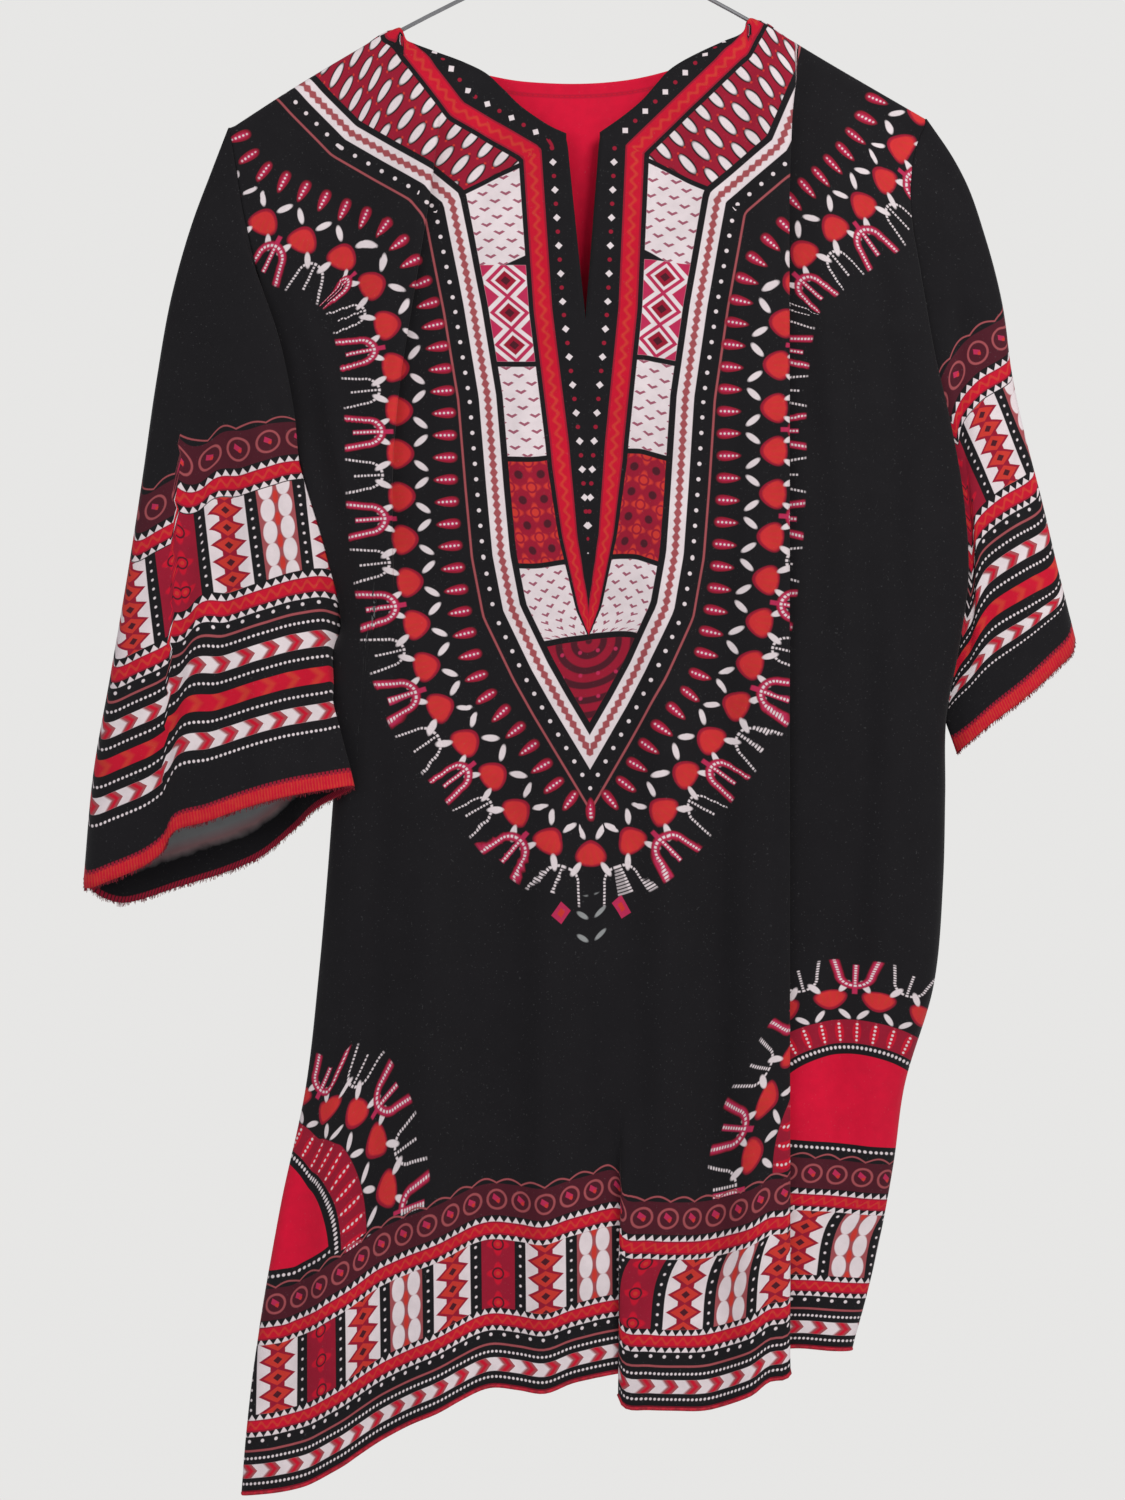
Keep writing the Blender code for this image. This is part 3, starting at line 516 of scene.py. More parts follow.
def front_columns() -> list[tuple]:
    """Every column of the front.

    Returns:
        For each, its x, share of the edge's turn, own step and the name of its hem.
    """
    way = row_ways()
    left_pleat = pleat_columns(PLEAT_LEFT, way, 1)
    centre_pleat = pleat_columns(PLEAT_CENTRE, way, -1)
    right_pleat = pleat_columns(PLEAT_RIGHT, way, 1)
    middle = centre_line(way)
    slit = SLIT_HALF_WIDTH * np.clip(1 - way / SLIT_TIP, 0, 1)
    left_edge = edge_columns("front", "left", way)
    right_edge = edge_columns("front", "right", way)
    inner_left = left_edge[-1][0]
    inner_right = right_edge[-1][0]
    settled_left = 0.55 * inner_left + 0.45 * left_pleat[0][0]
    settled_right = 0.35 * centre_pleat[-1][0] + 0.65 * right_pleat[0][0]
    neck_left = NECK_LEFT + (settled_left - NECK_LEFT) * ease(0.0, 0.35, way)
    neck_right = NECK_RIGHT + (settled_right - NECK_RIGHT) * ease(0.0, 0.5, way)
    steps = np.array(NECK_STEPS)
    from_left = [*(steps / (left_pleat[0][0][0] - NECK_LEFT)), 0.62]
    from_right = [0.25, 0.52, *(1 - steps[::-1] / (NECK_RIGHT - centre_pleat[-1][0][0]))]
    found = [(x, share, None, "left") for x, share in left_edge]
    plain = at_shares(inner_left, neck_left, (0.25, 0.5, 0.75)) + [neck_left]
    plain += at_shares(neck_left, left_pleat[0][0], from_left)
    found += [(x, 0, None, "left") for x in plain]
    found += [(x, 0, step, "left") for x, step in left_pleat]
    plain = at_shares(left_pleat[-1][0], middle - slit, (0.12, 0.26, 0.42, 0.58, 0.72, 0.87))
    plain += [middle - slit, middle + slit]
    plain += at_shares(middle + slit, centre_pleat[0][0], (0.35, 0.7))
    found += [(x, 0, None, "left") for x in plain]
    found += [(x, 0, step, "centre_pleat") for x, step in centre_pleat]
    plain = at_shares(centre_pleat[-1][0], neck_right, from_right) + [neck_right]
    plain += at_shares(neck_right, right_pleat[0][0], (0.35, 0.7))
    found += [(x, 0, None, "middle") for x in plain]
    found += [(x, 0, step, "right_pleat") for x, step in right_pleat]
    plain = at_shares(right_pleat[-1][0], inner_right, (0.22, 0.4, 0.6, 0.8))
    found += [(x, 0, None, "right") for x in plain]
    found += [(x, share, None, "right") for x, share in reversed(right_edge)]
    made = []
    for x, share, step, part in found:
        made.append((x, share, layer_step(x, way) if step is None else step, part))
    return made


HEMS = {"left": HEM_LEFT, "middle": HEM_MIDDLE, "right": HEM_RIGHT}


def front_hems(columns: list[tuple]) -> Array:
    """The depth of the hem under each column, from its own layer's hem.

    Args:
        columns: The front's columns.

    Returns:
        Depths below the rod.
    """
    found = []
    for x, _, _, part in columns:
        found.append(float(through(HEMS[part], "x", "down", x[-1])) if part in HEMS else None)
    known = [i for i, depth in enumerate(found) if depth is not None]
    return np.interp(range(len(found)), known, [found[i] for i in known])


def folds_at(folds: list[Soft], x: Array, way: Array) -> Array:
    """The depth of the soft folds at a place.

    Args:
        folds: The folds.
        x: Places across.
        way: Shares of the way down.

    Returns:
        Steps in depth.
    """
    depth = np.zeros(np.broadcast(x, way).shape)
    for fold in folds:
        centre = fold.x_top + (fold.x_hem - fold.x_top) * way
        length = ease(fold.start, fold.start + 0.15, way) * (1 - ease(fold.end - 0.1, fold.end + 0.05, way))
        depth = depth + fold.depth * length * bell(x, centre, fold.width)
    return depth


def fall(way: Array, drop: float) -> Array:
    """How fast the cloth leaves the wire: 0 on it, 1 well below."""
    return 1 - np.exp(-((way * PRINT_LENGTH / drop) ** 1.15))


def ways_down(x_top: float, panel: str) -> Array:
    """Each row's way down for a column, lowered where the neckline cuts it.

    Args:
        x_top: Where the column starts.
        panel: Front or back.

    Returns:
        Shares of the way down.
    """
    way = row_ways()
    neck = float(neck_depth(np.array(x_top), panel)) / PRINT_LENGTH
    steps = np.array([0, 1.5 / PRINT_LENGTH, 3.0 / PRINT_LENGTH] + [0] * len(WAYS))
    lowered = way + neck * np.clip(1 - way / NECK_BLEND, 0, 1)
    return lowered + (steps if neck > 0 else 0)


def wrap(panel_sign: int, neck: float) -> list[tuple[float, float]]:
    """Where the three top rows lie round the wire.

    Args:
        panel_sign: -1 for the front, 1 for the back.
        neck: The neckline's depth at the column.

    Returns:
        Each row's y, and its height above the wire's centre.
    """
    first = 90 * min(1.0, neck / NECK_STEPS[0] * 1.15)
    found = []
    for angle in WRAP_ANGLES:
        turn = math.radians(first + (90 - first) * angle / 90)
        y = SEAM_HALF + (CLOTH_ON_WIRE - SEAM_HALF) * math.sin(turn)
        found.append((panel_sign * y, CLOTH_ON_WIRE * math.cos(turn)))
    return found


def panel_points(columns: list[tuple], hems: Array, panel: str) -> Array:
    """The sheet of a body panel.

    Args:
        columns: The panel's columns.
        hems: The hem's depth under each.
        panel: Front or back.

    Returns:
        Columns by rows by x, y, down.
    """
    sign = -1 if panel == "front" else 1
    depth = FRONT_DEPTH if panel == "front" else BACK_DEPTH
    folds = FRONT_FOLDS if panel == "front" else BACK_FOLDS
    way = row_ways()
    low = through(SIDES, "way", "left", way)
    high = through(SIDES, "way", "right", way)
    points = np.zeros((len(columns), len(way), 3))
    for i, (x, share, step, _) in enumerate(columns):
        down_way = ways_down(x[0], panel)
        line = float(shoulder_line(np.array(x[0])))
        neck = float(neck_depth(np.array(x[0]), panel))
        across = np.clip(2 * (x - low) / (high - low) - 1, -1, 1)
        crown = SIDE_DEPTH_SHARE + (1 - SIDE_DEPTH_SHARE) * (1 - across**4)
        base = CLOTH_ON_WIRE + depth * fall(down_way, 70) * crown
        y = sign * base + step + folds_at(folds, x, down_way) * fall(down_way, 25) * (1 - share)
        edge = through(SIDES, "way", f"{panel}_{'left' if across[0] < 0 else 'right'}", way)
        y = y + (edge - y) * share
        down = line + down_way * (hems[i] - line)
        if neck < NECK_STEPS[0] / 1.15:
            on_wire = float(through(WIRE, "x", "down", x[0]))
            for k, (wrap_y, above) in enumerate(wrap(sign, neck)):
                y[k] = wrap_y
                down[k] = on_wire - above
        points[i] = np.stack([x, y, down], axis=1)
    return points


def back_columns() -> list[tuple]:
    """Every column of the back, spread evenly between its turned edges.

    Returns:
        For each, its x, share of the edge's turn, own step and the panel's name.
    """
    way = row_ways()
    flat = np.zeros(len(way))
    left_edge = edge_columns("back", "left", way)
    right_edge = edge_columns("back", "right", way)
    inner_left = left_edge[-1][0]
    inner_right = right_edge[-1][0]
    at_neck = ease(0.0, 0.5, way)
    neck_left = NECK_LEFT + (0.77 * inner_left + 0.23 * inner_right - NECK_LEFT) * at_neck
    neck_right = NECK_RIGHT + (0.23 * inner_left + 0.77 * inner_right - NECK_RIGHT) * at_neck
    steps = np.array(NECK_STEPS) / (NECK_RIGHT - NECK_LEFT)
    across_neck = [*steps, *np.linspace(0.09, 0.91, 11), *(1 - steps[::-1])]
    plain = at_shares(inner_left, neck_left, (0.25, 0.5, 0.75)) + [neck_left]
    plain += at_shares(neck_left, neck_right, across_neck) + [neck_right]
    plain += at_shares(neck_right, inner_right, (0.25, 0.5, 0.75))
    columns = [(x, share, flat, "back") for x, share in left_edge]
    columns += [(x, 0, flat, "back") for x in plain]
    columns += [(x, share, flat, "back") for x, share in reversed(right_edge)]
    return columns


def back_points(front: Array) -> Array:
    """The sheet of the back, whose side edges follow the front's down to the vents.

    Args:
        front: The front's sheet.

    Returns:
        Columns by rows by x, y, down.
    """
    columns = back_columns()
    hems = through(HEM_BACK, "x", "down", np.array([x[-1] for x, _, _, _ in columns]))
    points = panel_points(columns, hems, "back")
    way = row_ways()
    for edge, inner in ((0, 1), (-1, -1)):
        given = front[edge, :, 2]
        own = points[edge, :, 2].copy()
        at_vent = np.interp(VENT_TOP, way, given - own)
        shift = np.where(way <= VENT_TOP, given - own, at_vent * (1 - way) / (1 - VENT_TOP))
        for k in range(10):
            i = edge + inner * k
            points[i, 3:, 2] += shift[3:] * (1 - k / 10) ** 1.5
    return points


def to_world(points: Array) -> Array:
    """Millimetres from the rod, with down, as world coordinates in metres."""
    world = np.array(points, float) * MM
    world[..., 2] *= -1
    return world


def armhole(points: Array, panel: str, side: str, underarm: float) -> Array:
    """Where a sleeve starts beside a panel's edge.

    Args:
        points: The panel's sheet.
        panel: Front or back.
        side: Left or right.
        underarm: The underarm's share of the way down.

    Returns:
        Points from the top of the shoulder to the underarm.
    """
    way = row_ways()
    last = list(way).index(underarm)
    edge, outward = (0, -1) if side == "left" else (-1, 1)
    turn = turned(panel, side, way)
    start = points[edge].copy()
    start[:, 0] += outward * SEAM_REACH * (1 - turn)
    start[:, 1] += (-1 if panel == "back" else 1) * SEAM_BEHIND * turn
    start[0, 1] = 0
    start[last] = [points[edge, last, 0] + outward * UNDERARM_REACH, 0, points[edge, last, 2]]
    return start[: last + 1]


def cuff_points(table: list[Cuff], shares: Array) -> Array:
    """Points of a cuff's edge at the given shares of its half round."""
    return np.stack([through(table, "share", name, shares) for name in ("x", "y", "down")], axis=1)


def facing_points(back: Array) -> Array:
    """The red facing inside the back neck, whose loose lower part hangs in front of the hanger's bar.

    Args:
        back: The back's sheet.

    Returns:
        Columns by rows by x, y, down.
    """
    way = row_ways()
    inside = [i for i in range(back.shape[0]) if abs(back[i, 0, 0] - CENTRE_TOP) < FACING_HALF_WIDTH]
    level = int(np.sum(way <= FACING_WAY))
    points = back[inside][:, :level].copy()
    along_rows = np.gradient(points, axis=1)
    along_columns = np.gradient(points, axis=0)
    normal = unit(np.cross(along_rows, along_columns))
    normal *= np.where(normal[..., 1:2] > 0, -1, 1)
    points += normal * FACING_OUT
    points[..., 1] += (FACING_BEFORE_BAR - points[..., 1]) * ease(148, 198, points[..., 2])
    return points


def sleeve_half(
    seam: Array, cuff: list[Cuff], outward: int, bulge: str, folds_over: float, guide: list[Cuff] | None
) -> Array:
    """One half of a sleeve, front or back.

    Args:
        seam: Its start beside the body.
        cuff: The cuff's edge.
        outward: -1 on the left, 1 on the right.
        bulge: The side whose outer edge it follows.
        folds_over: How far it folds over the body's edge.
        guide: The path of its underarm seam, if it leaves the straight line.

    Returns:
        Stations by rows by x, y, down.
    """
    count = len(seam)
    way = row_ways()[:count] + np.array([0, 0.002, 0.004] + [0] * (count - 3))
    shares = (way / way[-1]) ** CUFF_SPREAD
    ends = cuff_points(cuff, shares)
    half = np.zeros((count, len(SLEEVE_STARTS) + len(SLEEVE_WAYS), 3))
    for i in range(count):
        fold = folds_over * ease(0.15, 0.55, shares[i]) * (1 - ease(0.55, 0.85, shares[i]))
        seam_point = seam[i]
        reach = ends[i] - seam_point
        start = seam_point + fold * np.array([*SEAM_FOLD[-1], 0])
        for k, near in enumerate(SLEEVE_STARTS):
            straight = seam_point + reach * near
            straight[0] += outward * through(OUTER, "way", bulge, near) * (1 - shares[i])
            folded = seam_point + np.array([*SEAM_FOLD[k], reach[2] * near])
            half[i, k] = straight + (folded - straight) * fold
        for k, far in enumerate(SLEEVE_WAYS):
            point = start + (ends[i] - start) * far
            point[0] += outward * through(OUTER, "way", bulge, far) * (1 - shares[i])
            half[i, len(SLEEVE_STARTS) + k] = point
    if guide:
        far = np.array(SLEEVE_STARTS + SLEEVE_WAYS)
        half[-1] = np.stack([through(guide, "share", name, far) for name in ("x", "y", "down")], axis=1)
        half[-1, :, 0] += (seam[-1, 0] - half[-1, 0, 0]) * (1 - far)
        half[-1, :, 2] += (seam[-1, 2] - half[-1, 0, 2]) * (1 - far)
    return half


class Spot(NamedTuple):
    """A point of the flat cloth: across from its centre line, and down from the shoulder line."""

    across: float
    down: float


class Crease(NamedTuple):
    """A crease: its two ends, its half width and how far it rises out of the cloth."""

    x: float
    down: float
    x_end: float
    down_end: float
    width: float
    rise: float


# Guides of the print on the flat cloth, each from its tip at the centre line to the shoulder
RED_GUIDE = rows_of(
    Spot,
    (0, 334), (6.2, 291), (10.2, 239), (18.7, 162.5), (23.9, 69.7), (84.6, 11.2), (95, -8),
)
WHITE_GUIDE = rows_of(
    Spot,
    (0, 414.7), (17, 386), (27.8, 366.5), (43.2, 334), (48.8, 303.5), (52, 265), (55.7, 214), (63.6, 162.5),
    (75, 101.5), (110, 65), (135, 2), (139, -20),
)
RING_GUIDE = rows_of(
    Spot,
    (0, 447), (17.3, 436.8), (30, 417.5), (45, 397), (58.5, 381), (69, 349), (76, 308), (79.5, 262),
    (80.5, 214), (84.5, 176), (94, 142), (112, 112), (136, 86), (160, 60), (186, 28), (200, -10),
)
LEFT_RED_GUIDE = rows_of(
    Spot,
    (0, 334), (6.2, 291), (10.2, 239), (18.7, 162.5), (23.9, 69.7), (68, 42), (101, -4), (110, -20),
)
LEFT_WHITE_GUIDE = rows_of(
    Spot,
    (0, 414.7), (17, 386), (27.8, 366.5), (43.2, 334), (48.8, 303.5), (52, 265), (55.7, 214), (63.6, 162.5),
    (75, 101.5), (87, 86), (110, 70), (132, 44), (161, -5), (172, -25),
)
BACK_RED_GUIDE = rows_of(
    Spot,
    (0, 52), (30, 49.5), (60, 38), (84, 18), (95, -8),
)
BACK_WHITE_GUIDE = rows_of(
    Spot,
    (0, 104), (32, 100), (66, 84), (98, 58), (122, 26), (139, -20),
)
BACK_RING_GUIDE = rows_of(
    Spot,
    (0, 132), (38, 128), (78, 112), (116, 86), (152, 52), (180, 22), (200, -10),
)

FRONT_CREASES = rows_of(
    Crease,
    (-88, 560, -92, 900, 9, 2.2), (-68, 610, -72, 905, 7, -2.0), (34, 420, 40, 905, 9, 2.0),
    (62, 380, 66, 900, 7, -1.8), (-130, 520, -158, 935, 8, 2.0), (-112, 500, -132, 900, 6, -1.6),
    (-150, 300, -128, 470, 9, 2.4), (-138, 330, -104, 560, 7, -1.8), (-20, 530, -26, 890, 8, 1.4),
    (0, 640, 2, 880, 6, -1.4), (128, 240, 150, 620, 8, 2.0), (160, 250, 182, 520, 8, -2.0),
    (176, 470, 150, 830, 9, 2.2), (140, 600, 128, 860, 6, -1.6), (-54, 165, -78, 320, 7, -1.4),
    (58, 160, 86, 330, 7, 1.6), (30, 240, 44, 420, 6, -1.2), (-36, 250, -44, 420, 6, 1.2),
    (-183, 235, -150, 330, 8, 1.8), (-172, 205, -120, 250, 7, -1.4), (150, 175, 182, 300, 7, 1.4),
)
BACK_CREASES = rows_of(
    Crease,
    (-120, 300, -150, 900, 10, -2.4), (-70, 260, -84, 905, 9, 2.0), (-20, 330, -26, 885, 9, -2.0),
    (36, 260, 40, 880, 8, 2.2), (84, 330, 80, 870, 9, -2.0), (140, 250, 122, 850, 9, 2.4),
    (-150, 230, -110, 420, 9, 2.0), (160, 230, 120, 430, 9, -1.8), (-40, 170, -60, 330, 8, 1.4),
    (30, 165, 52, 330, 8, -1.4),
)
LEFT_SLEEVE_CREASES = rows_of(
    Crease,
    (-183, 300, -186, 585, 8, 3.0), (-205, 330, -214, 575, 7, -2.0), (-165, 420, -158, 565, 6, -1.8),
    (-225, 300, -262, 590, 8, 2.0), (-168, 260, -176, 400, 6, 1.6), (-232, 420, -255, 600, 6, -1.6),
)
RIGHT_SLEEVE_CREASES = rows_of(
    Crease,
    (218, 250, 252, 490, 8, 1.8), (232, 300, 262, 480, 6, -1.4), (212, 330, 226, 520, 7, 1.8),
    (206, 260, 216, 420, 6, -1.6),
)

# How thick the red band is beside its guide, by depth below the shoulder line
RED_BAND = [(0, RED_WIDTH), (250, RED_WIDTH), (290, 8.3), (316, 6.6), (334, 5.5), (349.6, 1.9), (356, 0.9)]

# How much print the long fold on the right hides, by depth below the shoulder line
FOLD_EDGE = 118.0
HIDDEN_FOLD = [
    (8, 29), (24, 31), (37, 27), (49, 24), (61, 20), (71, 17.5), (79, 15), (100, 12), (460, 12), (580, 30),
    (780, 30),
]


def finer(points: Array, counts: list[int], closed: bool = False) -> Array:
    """Smooth curves through the points along the first axis.

    Args:
        points: Points by lines by values, the first three of which are a place.
        counts: Steps in each interval.
        closed: Whether the last point joins the first.

    Returns:
        The same lines with their intervals divided.
    """
    if closed:
        points = np.concatenate([points[-2:], points, points[:3]])
        counts = [1, 1, *counts, 1, 1]
    step = np.diff(points, axis=0)
    length = np.maximum(np.linalg.norm(step[..., :3], axis=-1, keepdims=True), 1e-4)
    slope = step / length
    inner = (slope[:-1] * length[1:] + slope[1:] * length[:-1]) / (length[:-1] + length[1:])
    tangent = np.concatenate([slope[:1], inner, slope[-1:]])
    found = []
    for i, count in enumerate(counts):
        for k in range(count):
            found.append(cubic(points[i : i + 2], tangent[i : i + 2], length[i], k / count))
    found.append(points[len(counts)])
    made = np.array(found)
    return made[2:-3] if closed else made


def steps_for(points: Array, spacing: float) -> list[int]:
    """How many steps each interval along the first axis needs to stay under a spacing."""
    length = np.linalg.norm(np.diff(points[..., :3], axis=0), axis=-1)
    return [max(1, math.ceil(float(row.max()) / spacing)) for row in length]


def normals_of(points: Array, outward: Array) -> Array:
    """Unit normals of a grid of points, on the side of a given direction."""
    normal = unit(np.cross(np.gradient(points, axis=0), np.gradient(points, axis=1)))
    side = np.sign((normal * outward).sum(axis=-1, keepdims=True))
    return normal * np.where(side == 0, 1, side)


def crease_height(creases: list[Crease], x: Array, down: Array) -> Array:
    """How far the listed creases rise at places given by x and down."""
    height = np.zeros(x.shape)
    for crease in creases:
        along = np.array([crease.x_end - crease.x, crease.down_end - crease.down])
        size = float(np.hypot(*along))
        share = ((x - crease.x) * along[0] + (down - crease.down) * along[1]) / size**2
        bow = 3.0 * np.sin(share * 5.0 + crease.x)
        aside = ((x - crease.x) * along[1] - (down - crease.down) * along[0]) / size + bow
        ends = ease(-0.02, 0.25, share) * (1 - ease(0.75, 1.02, share))
        height += crease.rise * ends * bell(aside, 0.0, crease.width)
    return height


def guide_place(
    guide: list[Spot], across: Array, down: Array, pointed: bool
) -> tuple[Array, Array]:
    """Where the cloth lies beside a guide that is mirrored at the centre line.

    Args:
        guide: Spots from the tip at the centre line upwards.
        across: Distances from the centre line.
        down: Distances below the shoulder line.
        pointed: Whether what runs outside the guide keeps its point below the tip.

    Returns:
        How far each point lies outside the guide, and its length along it from the tip.
    """
    right = np.abs(across)
    best = np.full(right.shape, 1e9)
    outside = np.zeros(right.shape)
    along = np.zeros(right.shape)
    before = 0.0
    for i, (first, second) in enumerate(zip(guide, guide[1:])):
        way = np.array([second.across - first.across, second.down - first.down])
        size = float(np.hypot(*way))
        share = ((right - first.across) * way[0] + (down - first.down) * way[1]) / size**2
        share = np.clip(share, -100 if i == 0 and pointed else 0, 1)
        off_x = right - first.across - share * way[0]
        off_down = down - first.down - share * way[1]
        apart = np.hypot(off_x, off_down)
        side = np.sign(way[0] * off_down - way[1] * off_x)
        closer = apart < best
        best = np.where(closer, apart, best)
        outside = np.where(closer, apart * side, outside)
        along = np.where(closer, before + share * size, along)
        before += size
    return outside, along


def below_neck(x: Array) -> Array:
    """How far the shoulder line lies below the neck's level."""
    return LEAN_STRETCH * (shoulder_line(x) - float(shoulder_line(np.array([CENTRE_TOP]))[0]))


def leveled(guide: list[Spot], side: int, hidden: bool) -> list[Spot]:
    """A guide with its depths counted from the neck's level.

    Args:
        guide: Spots with depths below the shoulder line.
        side: -1 on the left, 1 on the right.
        hidden: Whether the long fold hides some of the print.

    Returns:
        The guide's spots.
    """
    made = []
    for spot in guide:
        shown = spot.across
        if hidden and shown > FOLD_EDGE:
            taken = float(np.interp(spot.down, *np.array(HIDDEN_FOLD).T))
            shown = max(FOLD_EDGE, shown - taken)
        lower = below_neck(np.array([CENTRE_TOP + side * shown]))[0]
        made.append(Spot(spot.across, spot.down + float(lower)))
    return made


def smooth_guide(guide: list[Spot]) -> list[Spot]:
    """A guide with its corners and its tip rounded."""
    mirrored = [Spot(-spot.across, spot.down) for spot in reversed(guide[1:])] + list(guide)
    points = np.array([[spot.across, 0.0, spot.down] for spot in mirrored])[:, None, :]
    made = finer(points, [5] * (len(mirrored) - 1))[:, 0]
    return [Spot(float(x), float(down)) for x, _, down in made if x > -1e-6]


def beside_guide(guide: list[Spot], reach: float) -> list[Spot]:
    """A guide's parallel curve, further outside, from the centre line.

    Args:
        guide: Spots from the tip upwards.
        reach: How far outside it runs.

    Returns:
        The parallel curve, evenly divided and without loops.
    """
    across = np.array([spot.across for spot in guide])
    down = np.array([spot.down for spot in guide])
    size = np.maximum(np.hypot(np.gradient(across), np.gradient(down)), 1e-9)
    out_across = across - np.gradient(down) / size * reach
    out_down = down + np.gradient(across) / size * reach
    kept = [Spot(0.0, float(out_down[0]))]
    for x, y in zip(out_across[1:], out_down[1:]):
        away = min(math.hypot(x - a, y - b) for a, b in zip(across, down))
        if away > reach - 1.5 and x > kept[-1].across - 60 and y < kept[-1].down + 2:
            kept.append(Spot(float(x), float(y)))
    return kept


@dataclass
class ClothSheet:
    """A sheet of cloth as a grid of places, with the flat cloth's coordinates at each."""

    name: str
    places: Array
    prints: dict[str, Array]
    faces: list[list[int]]
    wall: float = 0.8

    def build(self, materials: list[Material], slots: Array, wrong_side: int) -> Object:
        """Make the object.

        Args:
            materials: The materials of its slots, right sides first.
            slots: The slot of each face.
            wrong_side: How many slots further on the wrong side's material is.

        Returns:
            The new object, with its wall made by Solidify.
        """
        used = sorted({corner for face in self.faces for corner in face})
        place = {corner: k for k, corner in enumerate(used)}
        faces = [[place[corner] for corner in face] for face in self.faces]
        piece = new_piece(self.name, self.places.reshape(-1, 3)[used], faces, materials)
        for name, values in self.prints.items():
            layer = piece.data.attributes.new(name, "FLOAT_VECTOR", "POINT")
            layer.data.foreach_set("vector", values.reshape(-1, 3)[used].astype(np.float32).ravel())
        piece.data.polygons.foreach_set("material_index", slots.astype(np.int32))
        wall = piece.modifiers.new("Cloth wall", "SOLIDIFY")
        wall.thickness = self.wall * MM
        wall.offset = 0.0
        wall.material_offset = wrong_side
        wall.material_offset_rim = 0
        return piece


def grid_faces(across: int, along: int, flip: bool) -> list[list[int]]:
    """The quads of a grid of columns and rows, facing the viewer or away."""
    faces = []
    for i in range(across - 1):
        for j in range(along - 1):
            quad = [i * along + j, i * along + j + 1, (i + 1) * along + j + 1, (i + 1) * along + j]
            faces.append(quad[::-1] if flip else quad)
    return faces


def flat_across(points: Array, centre_x: Array, start: int) -> Array:
    """Cloth length along each row from the centre line.

    Args:
        points: Columns by rows by place.
        centre_x: Each row's centre line.
        start: A column beside the centre line, from which lengths are counted.

    Returns:
        Each point's distance across the flat cloth, negative on the left.
    """
    total = run_along(points)
    return total - total[start] + (points[start, :, 0] - centre_x)


def fine_sheet(data: Array, spacing: float, row_spacing: float) -> Array:
    """A grid with its columns and then its rows divided down to the given spacings."""
    by_rows = finer(data, steps_for(data, spacing)).transpose(1, 0, 2)
    return finer(by_rows, steps_for(by_rows, row_spacing)).transpose(1, 0, 2)


def new_piece(name: str, points: Array, faces: list, materials: list) -> Object:
    """Make a smooth mesh object.

    Args:
        name: Its name.
        points: Its vertices, in millimetres with down.
        faces: Its faces.
        materials: The materials of its slots.

    Returns:
        The new object.
    """
    mesh = bpy.data.meshes.new(name)
    mesh.from_pydata([tuple(v) for v in to_world(points)], [], faces)
    mesh.shade_smooth()
    for item in materials:
        mesh.materials.append(item)
    piece = bpy.data.objects.new(name, mesh)
    bpy.context.collection.objects.link(piece)
    return piece


